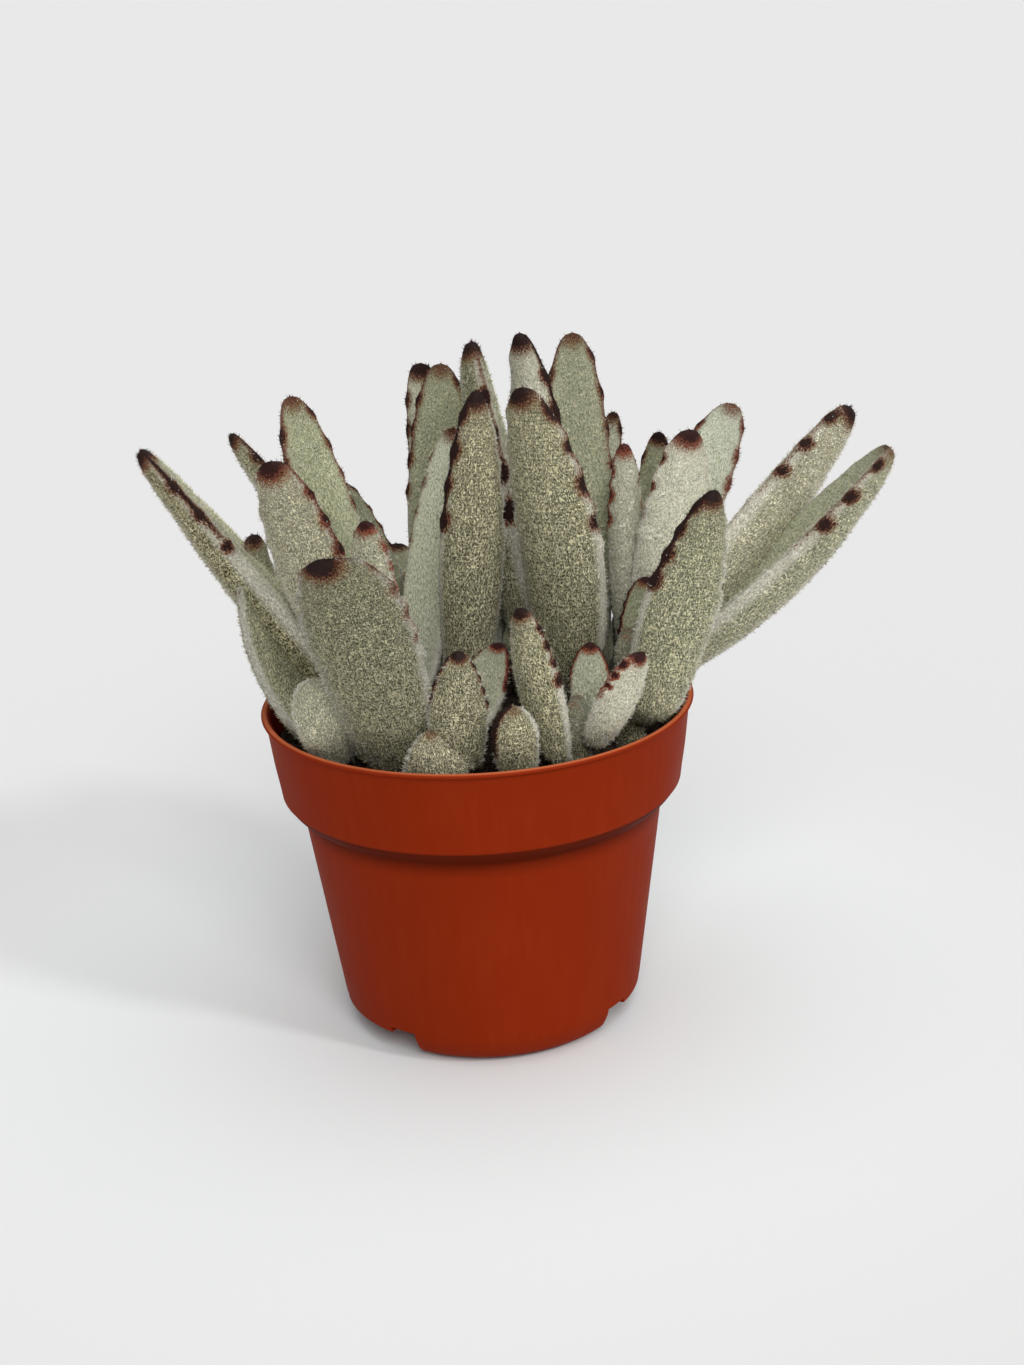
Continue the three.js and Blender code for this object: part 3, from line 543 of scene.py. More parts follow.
# name, x, y, top and turn of the crown, and then the form and the looks of each leaf
STEMS = [
    ("front_left_stem", -17, -22, 94, 20, [
        (dict(height=76, heading=-104, rise=63, length=71, width=24.5, thick=7.5, curl=-6, roll=5, cup=0.12,
              neck=0.7, widest=0.62, taper=2.0, blunt=2.8),
         dict(green=0.6, tone_and_painted_light=0.7, right=0.45, left=0.2, tip=1.2, lean=-0.6, line=0.45, wide=1.3,
              shift=0.08)),
        (dict(height=90, heading=-122, rise=83.2, length=45.7, width=13, thick=5),
         dict(green=0.5, pale=0.4, rose=0.9, left=0.5, right=0.5)),
        (dict(height=84, heading=62, rise=70, length=10, width=11, thick=5), dict(tip=0.3, left=0, right=0)),
    ]),
    ("front_right_stem", 36, -16, 92, 80, [
        (dict(height=81.5, heading=-46, rise=72.7, length=63, width=18.5, thick=7.5, curl=-6, bow=1,
              roll=-32, cup=0.12, neck=0.68, kick=36, taper=1.1, blunt=1.9),
         dict(green=0.85, pale=0.15, left=1.3, right=0, line=1.0, tip=0.9, lean=-0.5)),
        (dict(height=84, heading=60, rise=77.6, length=28.8, width=12, thick=5, curl=0, roll=40),
         dict(green=0, rose=0.5, pale=0, tone_and_painted_light=0.75, left=1.1, right=1.1, line=1.1, wide=1.3, start=0.2)),
    ]),
    ("centre_stem", -6, 3, 96, 50, [
        (dict(height=82, heading=-60, rise=79, length=80, width=15.5, thick=6.5, curl=3, roll=-20, cup=0.15,
              taper=1.3, blunt=2),
         dict(green=0.15, left=1.3, right=0.1, line=1.0, lean=-0.3)),
        (dict(height=80, heading=48, rise=66, length=50, width=14, thick=5.5), {}),
    ]),
    ("centre_right_stem", 26, -1, 98, 10, [
        (dict(height=81, heading=-130, rise=80, length=81, width=21.5, thick=7.5, bow=5, roll=10,
              cup=0.12),
         dict(green=0.4, left=0.1, right=0.95, line=0.35, lean=-0.4, shift=0.065)),
        (dict(height=87, heading=86, rise=82, length=81, width=17, thick=5.5, curl=2),
         dict(green=0.5, pale=0.2, tip=0.4, rose=0.3, line=0.45, wide=1.6, left=0.8, right=0.95)),
        (dict(height=84, heading=169, rise=72.2, length=87, width=18, thick=13, curl=14, bow=-5, roll=24,
              cup=0),
         dict(green=0.9, tone_and_painted_light=0.8, tip=0.9, right=1.3, left=0.2, line=0.25, inset=1.0, shift=-0.015)),
        (dict(height=79, heading=84, rise=60, length=50, width=13, thick=5.5), {}),
    ]),
    ("left_stem", -20, -4, 98, 0, [
        (dict(height=83, heading=-135, rise=66.3, length=72, width=18.5, thick=7, curl=6, roll=25, cup=0.15,
              taper=1.8, blunt=2.6),
         dict(green=0.15, pale=0.3, rose=0.6, left=0.2, right=0.9, lean=-0.2)),
        (dict(height=81, heading=-174, rise=58.8, length=85, width=17.5, thick=11, curl=-6, roll=6),
         dict(green=0, pale=0, tone_and_painted_light=0.88, right=1.0, left=0.3, line=0.8, wide=0.8, start=0.6, tip=0.9,
              spots=(0.01, 0.6, 0.7, 0.8))),
        (dict(height=86, heading=131, rise=67, length=74, width=18, thick=5.5),
         dict(green=0.5, tip=0.45, rose=0.4, line=0.42, wide=1.7, left=0.8, right=1.0)),
        (dict(height=79, heading=164, rise=46, length=40, width=16, thick=5), dict(green=0.5)),
        (dict(height=84, heading=34, rise=74, length=65.5, width=20, thick=6, cup=0.3),
         dict(green=0.6, pale=0.85, tone_and_painted_light=1.4, tip=0.5, rose=0.5, right=0.5, left=0.5)),
    ]),
    ("right_stem", 37, 9, 98, 35, [
        (dict(height=84, heading=-35, rise=76, length=64, width=19, thick=6, roll=-30, cup=0.15),
         dict(green=0.35, pale=0.8, tone_and_painted_light=1.16, rose=0.7, right=0.1, left=0.8, line=0.2, shift=0.07,
              spots=(0.01, 0.5, 0.6, 0.5))),
        (dict(height=90, heading=-85, rise=87, length=53, width=9, thick=4.5, curl=0),
         dict(pale=0.75, rose=1.0, tip=0.7, left=0.8, right=0.3, line=0.6, shift=0.05)),
        (dict(height=88, heading=18, rise=74.8, length=64.5, width=18.5, thick=5.5, curl=-14, roll=24,
              widest=0.65),
         dict(green=0.8, pale=1.0, tone_and_painted_light=1.32, tip=0.35, rose=0.8, left=0.6, right=1.0, line=0.5)),
        (dict(height=87, heading=6, rise=48.9, length=79, width=19.5, thick=11, curl=2, roll=-45, blunt=3),
         dict(green=0.2, pale=0.4, tone_and_painted_light=1.08, tip=0.9, line=0.28, left=0.9, right=0, inset=1.0,
              shift=0.012, spots=(0.01, 0.65, 0.75, 0.9))),
        (dict(height=84.8, heading=-14, rise=36.3, length=82, width=20, thick=9, curl=15, roll=8, cup=0.6,
              kick=22),
         dict(green=0.8, pale=0.25, tip=0.3, left=1.0, right=0.2, line=0.25, inset=1.1, shift=0.02,
              spots=(0.01, 0.75, 0.75, 0.65))),
        (dict(height=89, heading=45, rise=78, length=53, width=13, thick=4.5), dict(green=0.8)),
        (dict(height=82, heading=46, rise=42, length=43, width=17, thick=6, curl=6), {}),
    ]),
    ("rear_left_stem", -15, 24, 98, 60, [
        (dict(height=87, heading=26, rise=84, length=72, width=17.5, thick=5.5, roll=50),
         dict(green=0.7, tip=0.4, rose=0.3, line=0.5, wide=1.5)),
        (dict(height=84, heading=74, rise=79, length=74, width=12.5, thick=5, bow=-3, taper=2.2, blunt=3),
         dict(pale=0.7)),
        (dict(height=82, heading=122, rise=50.9, length=54, width=17, thick=5),
         dict(green=0.9, tone_and_painted_light=0.65, line=0.8)),
        (dict(height=86, heading=168, rise=59.7, length=69.5, width=18, thick=7, curl=-6, roll=34),
         dict(green=0.5, tip=0.8, right=0.8, line=0.6, left=0.2)),
        (dict(height=79, heading=62, rise=54, length=56, width=15, thick=6, curl=6), {}),
        (dict(height=80, heading=166, rise=34, length=46, width=16, thick=6, curl=8), {}),
        (dict(height=76, heading=98, rise=36, length=46, width=16, thick=6, curl=6), {}),
        (dict(height=84, heading=-172, rise=62, length=40, width=13, thick=5, curl=6), {}),
    ]),
    ("rear_right_stem", 21, 24, 98, 90, [
        (dict(height=86, heading=-112, rise=81, length=84, width=13, thick=5.5, bow=3.4, roll=10),
         dict(green=0.3, pale=0.75, lean=-0.4, left=0, right=1.3, line=1.0)),
        (dict(height=84, heading=52, rise=67, length=61.5, width=11.5, thick=4.5), dict(pale=0.7, tip=0.6)),
        (dict(height=80, heading=108, rise=50, length=62, width=17, thick=6, curl=6), {}),
        (dict(height=82, heading=62, rise=48, length=60, width=17, thick=6, curl=8), {}),
        (dict(height=76, heading=18, rise=40, length=44, width=15, thick=6, curl=10), {}),
        (dict(height=78, heading=152, rise=44, length=38, width=14, thick=5.5, curl=8), {}),
    ]),
    ("front_shoot", -7, -32, 86, 30, [
        (dict(height=78, heading=-66, rise=79, length=30, width=13.8, thick=7, curl=3, roll=-20, cup=0.12,
              neck=0.85, taper=1.15, blunt=1.8),
         dict(green=0.2, tone_and_painted_light=0.8)),
        (dict(height=82, heading=45, rise=52.5, length=24.5, width=15, thick=5, curl=3, taper=1.3,
              blunt=2),
         dict(green=0.5, rose=1.0, pale=0.5, tip=1.3, left=1.0, right=1.0, line=0.55, wide=1.7)),
        (dict(height=76, heading=-109, rise=38, length=15, width=15.5, thick=6.5, curl=58, roll=20, cup=0.12,
              neck=0.95, widest=0.35, taper=1.1, blunt=1.7),
         dict(green=0.2, pale=0.15, tip=0.3, left=0, right=0, line=0)),
    ]),
    ("front_centre_shoot", 9, -33, 80, 40, [
        (dict(height=77, heading=-92, rise=67, length=20, width=10.5, thick=6, curl=0, cup=0.15, neck=0.9,
              taper=1.6, blunt=2.2),
         dict(green=0.4, tip=0.25, left=1.3, right=0, line=1.2, wide=2.8, start=0.2)),
    ]),
    ("right_shoot", 23, -27, 80, 75, [
        (dict(height=76, heading=-146, rise=76, length=40, width=12, thick=6.5, curl=3, roll=20, cup=0.12),
         dict(green=0.35)),
        (dict(height=80, heading=-38, rise=59, length=28, width=11.5, thick=5.5, roll=-20, cup=0.15),
         dict(pale=0.7, tone_and_painted_light=1.08, rose=0.9, tip=1.2, left=1.1, right=0, line=0.35, wide=1.5, start=0.4,
              inset=0.8, shift=-0.04, spots=(0.01, 0.6, 0.8, 1))),
        (dict(height=84, heading=40, rise=88, length=18, width=9.5, thick=4.5, curl=0, roll=40, neck=0.8,
              taper=1.4, blunt=2),
         dict(green=0.6, pale=0.6, rose=1.0, tip=1.1, left=1.1, right=0.9, line=0.55, wide=2.0, start=0.3)),
    ]),
    ("far_left_shoot", -33, -19, 80, 45, [
        (dict(height=77, heading=-100, rise=60, length=27, width=14, thick=8, curl=6, cup=0.1),
         dict(green=0.6, pale=0.4, tip=0, left=0, right=0, line=0)),
        (dict(height=79, heading=150, rise=51.3, length=52.9, width=16.5, thick=7, curl=45, kick=25,
              cup=0.1),
         dict(green=0.5, inside=0.3, tone_and_painted_light=0.72, tip=0.8, left=0.5, right=0.5, line=1.0, start=0.75,
              spots=(0.01, 0.01, 0.01, 0.6))),
    ]),
]


def smooth(x, low, high):
    """The smooth step 3t^2 - 2t^3 of x from low to high."""
    t = np.clip((x - low) / (high - low), 0, 1)
    return t * t * (3 - 2 * t)


def grown(s, end):
    """A quarter sine wave from 0 at the root to 1 at the share `end` of the length, and 1 past it."""
    return np.sin(np.pi / 2 * np.clip(s / end, 0, 1))


def half_width(s, leaf):
    """Half the blade's width at the share s of its length: a neck that swells to the widest place, and past
    it (1 - t^taper)^(1/blunt), where t runs from 0 there to 1 at the tip. The root itself is slimmer."""
    widest, neck = leaf["widest"], leaf["neck"]
    t = np.clip((s - widest) / (1 - widest), 0, 1)
    lower = neck + (1 - neck) * grown(s, widest) ** NECK_POWER
    root = ROOT_WIDTH + (1 - ROOT_WIDTH) * grown(s, ROOT_WIDTH_END)
    share = np.where(s < widest, lower * root, (1 - t ** leaf["taper"]) ** (1 / leaf["blunt"]))
    return np.maximum(leaf["width"] / 2 * share, LEAST_HALF_WIDTH)


def half_thickness(s, leaf):
    """Half its thickness: a half sine wave along the fleshy belly, slimmer at the root, and past the start of
    its thinning (1 - t^p)^(1/2), where t runs from 0 there to 1 at the tip and p is THINNING_POWER."""
    belly = BELLY_LEAST + (1 - BELLY_LEAST) * np.sin(np.pi * np.clip(s / BELLY_END, 0, 1))
    root = ROOT_THICKNESS + (1 - ROOT_THICKNESS) * grown(s, ROOT_THICKNESS_END)
    t = np.clip((s - THINNING_START) / (1 - THINNING_START), 0, 1)
    end = np.sqrt(1 - t**THINNING_POWER)
    return leaf["thick"] / 2 * belly * root * (TIP_THICKNESS + (1 - TIP_THICKNESS) * end)


def teeth(s, places):
    """The sum of a bell curve at each tooth."""
    return np.exp(-(((s[..., None] - places) / TOOTH_LENGTH) ** 2)).sum(-1)


def blade_frame(s, leaf):
    """Middle line of the blade and its across and up axes at each s. The slope is rise + curl s, less a
    kick that fades over the root, and the line is the running sum of the unit steps along that slope."""
    heading, roll = np.radians(leaf["heading"]), np.radians(leaf["roll"])
    side = np.array([-np.sin(heading), np.cos(heading), 0])
    ahead = np.array([np.cos(heading), np.sin(heading), 0])

    def along(share):
        kick = leaf["kick"] * np.clip(1 - share / KICK_END, 0, 1) ** 2
        slope = np.radians(leaf["rise"] + leaf["curl"] * share - kick)[:, None]
        return ahead * np.cos(slope) + np.array([0, 0, 1.0]) * np.sin(slope)

    steps = MIDDLE_LINE_STEPS
    middles = (np.arange(steps) + 0.5) / steps
    walked = np.vstack([np.zeros(3), np.cumsum(along(middles), 0)]) * leaf["length"] / steps
    at = np.linspace(0, 1, steps + 1)
    line = np.stack([np.interp(s, at, walked[:, axis]) for axis in range(3)], -1)
    line += leaf["root"] + side * (leaf["bow"] * np.sin(np.pi * s))[:, None]
    way = along(s)
    face = np.cross(way, side)
    across = side * np.cos(roll) + face * np.sin(roll)
    up = face * np.cos(roll) - side * np.sin(roll)
    return line, way, across, up


def blade_rings(s, turn, leaf):
    """Rings of the blade: half width times cos(turn) across, and the thickness times sin(turn) upward,
    flatter on the inner face, with the dish, cup times half width times (cos^2 - DISH_LEVEL), and the teeth
    on the two margins. The first rings are pushed back into the stem."""
    line, way, across, up = blade_frame(s, leaf)
    half, thick = half_width(s, leaf)[:, None], half_thickness(s, leaf)[:, None]
    depth = np.minimum(thick, half * THICKEST)
    c, d = np.cos(turn)[None, :], np.sin(turn)[None, :]
    full = np.clip(half / (TOOTH_FADE * leaf["width"]), 0, 1) * TOOTH_HEIGHT * leaf["width"]
    tooth = np.where(c > 0, teeth(s, RIGHT_TEETH)[:, None], teeth(s, LEFT_TEETH)[:, None]) * full
    sideways = half * c + tooth * np.sign(c) * np.abs(c) ** TOOTH_FLATNESS
    fullness = np.where(d > 0, INNER_FULLNESS, BACK_FULLNESS)
    upward = depth * fullness * d + leaf["cup"] * half * (c**2 - DISH_LEVEL)
    rings = line[:, None, :] + across[:, None, :] * sideways[..., None] + up[:, None, :] * upward[..., None]
    sink = np.exp(-((s / ROOT_SINK_END) ** 2))[:, None, None]
    return rings - way[:, None, :] * ROOT_SINK * sink


def marks(s, turn, leaf, look):
    """How brown the blade is at each s and turn, from 0 to about 1: the largest of a bell-shaped spot on each
    tooth, a line along the margin and a blotch on the tip."""
    c, d = np.cos(turn), np.sin(turn)
    scale = leaf["scale"]
    inward = half_width(s, leaf) * (1 - np.abs(c)) + THICKNESS_COUNTS * leaf["thick"] * np.abs(d)
    from_spot = inward - look["inset"] * np.sign(-d)
    reach = np.where(d > 0, SPOT_REACH_INSIDE, SPOT_REACH_BACK) * scale
    total = np.zeros(np.broadcast(s, turn).shape)
    margins = ((RIGHT_TEETH, c > 0, look["right"]), (LEFT_TEETH, c <= 0, look["left"]))
    for places, on_side, strength in margins:
        for place, size in zip(places, look["spots"]):
            away = (s - place - look["shift"]) * leaf["length"]
            spot = np.exp(-((away / (SPOT_LENGTH * size * scale)) ** 2) - (from_spot / (reach * size)) ** 2)
            total = np.maximum(total, np.where(on_side, strength * spot, 0))
    past = smooth(s, look["start"], look["start"] + LINE_FADE)
    side_line = np.where(c > 0, look["right"], look["left"]) * look["line"]
    total = np.maximum(total, side_line * past * np.exp(-((inward / (look["wide"] * scale)) ** 2)))
    blotch_middle = look["lean"] * half_width(np.array(BLOTCH_LEVEL), leaf)
    aside = (half_width(s, leaf) * c - blotch_middle) / BLOTCH_WIDENED
    from_tip = np.hypot((1 - s) * leaf["length"], aside)
    return np.maximum(total, look["tip"] * np.exp(-((from_tip / (BLOTCH_SIZE * scale)) ** 2)))


# The felt's colours, and its smooth steps, each from where to where and between which values.
TAN_BACK = (0.066, 0.050, 0.016)
GREEN_BACK = (0.046, 0.061, 0.014)
INNER_GREEN = (0.560, 0.590, 0.395)
CLOUD_OLIVE = (0.080, 0.078, 0.036)
GROOVE_GREEN = (0.190, 0.230, 0.125)
PALE_CREAM = (0.84, 0.79, 0.61)
PALE_GREEN = (0.74, 0.82, 0.62)
FRINGE_AND_SHEEN_CREAM = (0.80, 0.76, 0.60)
FELT_STRAW = (0.92, 0.86, 0.54)
FELT_CREAM = (0.96, 0.93, 0.80)
FELT_FRINGE_AND_SHEEN = (0.97, 0.95, 0.85)
HALO_TAN = (0.30, 0.185, 0.075)
RUST_BROWN = (0.150, 0.048, 0.022)
RUST_RED = (0.340, 0.060, 0.028)
CORE_BROWN = (0.026, 0.010, 0.007)
CORE_RED = (0.058, 0.011, 0.008)
WISP_STEP = (0.012, 0.05, 1, 0)
CLOUD_STEP = (0.35, 0.65, 0, 0.35)
# where the skin is seen aslant it is paled as the margin is, which is painted sheen
ASLANT_PAINTED_SHEEN_STEP = (0.45, 0.9, 0, 0.85)
MARGIN_STEP = (0.86, 0.985, 0, 0.9)
GROOVE_STEP = (0.2, 0.85, 0.45, 0)
MOTTLE_STEP = (0.38, 0.62, 0.6, 1.2)
COVER_STEP = (0, 1, 0.95, 0.5)
RAGGED_STEP = (0.3, 0.7, -0.2, 0.2)
HALO_STEP = (0.05, 0.3, 0, 0.6)
RUST_STEP = (0.2, 0.32, 0, 0.9)
CORE_STEP = (0.38, 0.5, 0, 1)
ROSE_SHRINKS_CORE = 0.12
# bumps to a mm in the noises behind the strokes of hair and behind the grain, and how the place is scaled
# round the leaf and along it, which makes the strokes longer than they are wide
STROKES_PER_MM = (1.9, 2.8)
GRAIN_PER_MM = 2.6
STROKE_STRETCH = (1, 0.45, 1)
# where the inner face begins and where it is reached, as the sine of the turn
INNER_STEP = (-0.25, 0.45)


def set_number(mesh, name, values):
    """Keeps one number at each point of the mesh, for its material to read."""
    mesh.attributes.new(name, "FLOAT", "POINT").data.foreach_set("value", values.astype(np.float32).ravel())


def set_span(mesh, around, along):
    """Keeps the size in mm of the leaf's skin, round it and along it, at each point of the mesh."""
    values = np.tile([around, along, 0], (len(mesh.vertices), 1)).astype(np.float32)
    mesh.attributes.new("span", "FLOAT_VECTOR", "POINT").data.foreach_set("vector", values.ravel())


def wisps(tree, place, scale):
    """Thin curly lines, 1 on a line and 0 between them: where a noise crosses the middle of its range."""
    swell = noise(tree, place, scale, detail=1)
    return stepped(tree, maths(tree, "ABSOLUTE", maths(tree, "SUBTRACT", swell, 0.5)), *WISP_STEP)


def kept_number(tree, name):
    """A number that is kept at each point of the mesh."""
    return add_node(tree, "ShaderNodeAttribute", attribute_name=name).outputs["Fac"]


def skin_place(tree):
    """The place on a leaf's skin in mm, which is its own map times its span. It is squeezed along the blade,
    so that a pattern on it is drawn out there."""
    span = add_node(tree, "ShaderNodeAttribute", attribute_name="span").outputs["Vector"]
    unrolled = add_node(tree, "ShaderNodeUVMap", uv_map="OFBake").outputs["UV"]
    on_skin = add_node(tree, "ShaderNodeVectorMath", [(0, unrolled), (1, span)], operation="MULTIPLY")
    pairs = [("Vector", on_skin.outputs[0]), ("Scale", STROKE_STRETCH)]
    return add_node(tree, "ShaderNodeMapping", pairs).outputs["Vector"]


def scaled(tree, colour, share):
    """The colour times a number."""
    pairs = [(0, colour), ("Scale", share)]
    return add_node(tree, "ShaderNodeVectorMath", pairs, operation="SCALE").outputs[0]


def fleshy_skin(tree, fringe, grain):
    """The skin under the hairs: tan or green on the back, greener and lighter inside with a dark groove along
    the middle, clouded, nearly white on a pale leaf, cream at the fringe, which is the paler margin and,
    where the skin is seen aslant, painted sheen, and mottled by the grain."""
    green, inner = kept_number(tree, "green"), kept_number(tree, "inner")
    colour = mixed(tree, inner, mixed(tree, green, TAN_BACK, GREEN_BACK), INNER_GREEN)
    clouds = noise(tree, object_place(tree), scale=130)
    colour = mixed(tree, stepped(tree, clouds, *CLOUD_STEP), colour, CLOUD_OLIVE)
    groove = maths(tree, "MULTIPLY", stepped(tree, kept_number(tree, "rim"), *GROOVE_STEP), inner)
    colour = mixed(tree, groove, colour, GROOVE_GREEN)
    colour = mixed(tree, kept_number(tree, "pale"), colour, mixed(tree, green, PALE_CREAM, PALE_GREEN))
    return scaled(tree, mixed(tree, fringe, colour, FRINGE_AND_SHEEN_CREAM), stepped(tree, grain, *MOTTLE_STEP))


def with_marks(tree, felt, grain):
    """The felt with its brown marks: a tan halo, a rusty edge that the grain breaks up, and a dark core, both
    redder and the core smaller where the leaf's marks are rosy."""
    mark, rose = kept_number(tree, "mark"), kept_number(tree, "rose")
    ragged = maths(tree, "ADD", mark, stepped(tree, grain, *RAGGED_STEP))
    deep = maths(tree, "SUBTRACT", ragged, maths(tree, "MULTIPLY", rose, ROSE_SHRINKS_CORE))
    felt = mixed(tree, stepped(tree, mark, *HALO_STEP), felt, HALO_TAN)
    felt = mixed(tree, stepped(tree, ragged, *RUST_STEP), felt, mixed(tree, rose, RUST_BROWN, RUST_RED))
    return mixed(tree, stepped(tree, deep, *CORE_STEP), felt, mixed(tree, rose, CORE_BROWN, CORE_RED))


def felted_leaf():
    """Felt over a fleshy leaf: short curly cream hairs that lie along the blade over a darker skin, with
    brown marks. It is palest at the fringe, which is the margin, whose hairs are paler, and wherever the skin
    is seen aslant, where the paleness is painted sheen."""
    material, tree, shader = new_material("felted_leaf")
    place = skin_place(tree)
    grain = noise(tree, place, scale=GRAIN_PER_MM, detail=1)
    strokes = maths(tree, "MAXIMUM", *(wisps(tree, place, scale) for scale in STROKES_PER_MM))
    # painted sheen: the skin seen aslant is paled toward cream
    facing = add_node(tree, "ShaderNodeLayerWeight", [("Blend", 0.5)]).outputs["Facing"]
    near_margin = stepped(tree, kept_number(tree, "rim"), *MARGIN_STEP)
    fringe = maths(tree, "MAXIMUM", stepped(tree, facing, *ASLANT_PAINTED_SHEEN_STEP), near_margin)
    hairs = mixed(tree, kept_number(tree, "pale"), FELT_STRAW, FELT_CREAM)
    hairs = mixed(tree, fringe, hairs, FELT_FRINGE_AND_SHEEN)
    cover = maths(tree, "MULTIPLY", strokes, stepped(tree, kept_number(tree, "inner"), *COVER_STEP))
    felt = mixed(tree, cover, fleshy_skin(tree, fringe, grain), hairs)
    # the felt is scaled by its brightness: the leaf's tone with painted light or shade, and painted shade in
    # the plant's middle
    felt = with_marks(tree, scaled(tree, felt, kept_number(tree, "tone_and_painted_light")), grain)
    rough = bumps(tree, strokes, strength=1.0, depth=0.0003)
    feed(tree, shader, [("Base Color", felt), ("Roughness", 0.9), ("Normal", rough)])
    feed(tree, shader, [("Specular IOR Level", 0.05), ("Sheen Weight", 0.08), ("Sheen Roughness", 0.45)])
    return material


# Painted shade in the plant's dark middle, where shade falls between the leaves: the felt's colour is
# darkened there. The distance from its upright middle line and the height over DARK_HEIGHT, both in mm, count
# as shares of PLANT_RADIUS and OPEN_HEIGHT. Deep inside, the felt keeps the share DARKEST of its colour.
PLANT_MIDDLE_X = 8
PLANT_RADIUS = 42
DARK_HEIGHT = 70
OPEN_HEIGHT = 75
OPEN_STEP = (0.45, 0.95)
DARKEST = 0.8


def openness(point):
    """How far a point is out of the plant's dark middle, from 0 deep between the leaves to 1 in the open:
    the larger of its distance from the middle and its height, each as a share of the plant's."""
    from_middle = np.hypot(point[..., 0] - PLANT_MIDDLE_X, point[..., 1]) / PLANT_RADIUS
    return smooth(np.maximum(from_middle, (point[..., 2] - DARK_HEIGHT) / OPEN_HEIGHT), *OPEN_STEP)


def keep_looks(piece, rings, turn, mark, look):
    """Keeps the numbers that the felt's material reads at each point of a skin and its two poles: how brown
    it is, how far round to the inner face, how near to the margin and how bright, which is its leaf's tone
    with painted light or shade, darkened by painted shade in the plant's middle, and its leaf's looks."""
    inner = look["inside"] * smooth(np.sin(turn), *INNER_STEP)
    tone_and_painted_light = look["tone_and_painted_light"] * (DARKEST + (1 - DARKEST) * openness(rings))
    at_points = dict(mark=mark, inner=inner, rim=np.abs(np.cos(turn)), tone_and_painted_light=tone_and_painted_light)
    for name, values in at_points.items():
        values = values.ravel()
        set_number(piece.data, name, np.concatenate([values, [values[0], values[-1]]]))
    for key in ("green", "pale", "rose"):
        set_number(piece.data, key, np.full(len(piece.data.vertices), look[key]))
    piece.data.materials.append(leaf_felt)


leaf_draw = np.random.default_rng(11)
leaf_stations = 1 - (1 - np.linspace(0, 1, LEAF_STATIONS)) ** STATIONS_TOWARD_TIP
leaf_turns = np.arange(LEAF_SIDES) * 2 * np.pi / LEAF_SIDES
leaf_felt = felted_leaf()
skins_of = {}
for stem_name, x, y, _, _, rows in STEMS:
    skins_of[stem_name] = []
    for number, (form, look) in enumerate(rows, 1):
        leaf = {**LEAF_DEFAULTS, **form}
        away = np.radians(leaf["heading"])
        outward = np.array([np.cos(away), np.sin(away), 0])
        leaf["root"] = np.array([x, y, leaf["height"]]) + STEM_TO_ROOT * outward
        leaf["scale"] = np.clip(leaf["length"] / MARKS_LENGTH, *MARKS_SCALES)
        spots = leaf_draw.uniform(*SPOTS_RANGE, len(RIGHT_TEETH))
        look = {**LOOK_DEFAULTS, "spots": spots, "green": leaf_draw.uniform(*GREEN_RANGE), **look}
        rings = blade_rings(leaf_stations, leaf_turns, leaf)
        tip = rings[-1].mean(0) + blade_frame(np.array([1.0]), leaf)[1][0] * TIP_POLE
        name = f"{stem_name}_leaf_{number}"
        blade = skin(f"blade_{name}", rings, rings[0].mean(0), tip)
        s, turn = np.meshgrid(leaf_stations, leaf_turns, indexing="ij")
        keep_looks(blade, rings, turn, marks(s, turn, leaf, look), look)
        set_span(blade.data, AROUND_PER_WIDTH * leaf["width"], leaf["length"])
        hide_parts(name)
        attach(blade, "root")
        skins_of[stem_name].append((leaf, look, rings, leaf_stations, leaf_turns))


# ---- Stems and crowns
# Stout fleshy stems that stand in the soil and are felted as the leaves are. Each ends in a crown of two
# young leaves pressed together.

STEM_FOOT = 60
STEM_RADIUS = 3.6
STEM_SIDES = 24
STEM_STATIONS = 24
STEM_SHOULDER = 1.2
# how far under the top the last rings are, and how slim the stem is at its foot, its shoulder and its top
STEM_LAST = np.array([0.5, 0.1])
STEM_SLIMMING = np.array([1, 0.86, 0.5])
AROUND_PER_RADIUS = 6.3
BUD = dict(LEAF_DEFAULTS, rise=74, curl=10, length=13, width=6, thick=3, neck=0.8, kick=0, scale=0.5)
BUD_SINK = 3
BUD_HEADINGS = (0, 180)
# young leaves and stems get less brightness, painted shade for where they sit deep in the crowns
BUD_LOOK = dict(LOOK_DEFAULTS, green=0.5, pale=0.4, rose=0.8, tone_and_painted_light=0.7, tip=0.2, left=0, right=0, line=0)
STEM_LOOK = dict(BUD_LOOK, green=0.2, pale=0, rose=0.2, tone_and_painted_light=0.5)


def stem_rings(x, y, top, angles):
    """A slim column that thins a little up to its shoulder and rounds off above it."""
    shoulder = top - STEM_SHOULDER
    heights = np.concatenate([np.linspace(STEM_FOOT, shoulder, STEM_STATIONS), top - STEM_LAST])
    radius = np.interp(heights, [STEM_FOOT, shoulder, top], STEM_RADIUS * STEM_SLIMMING)
    return turned_rings(np.stack([radius, heights], -1), angles) + np.array([x, y, 0])


stem_angles = np.arange(STEM_SIDES) * 2 * np.pi / STEM_SIDES
stem_shares = np.linspace(0, 1, STEM_STATIONS + len(STEM_LAST))
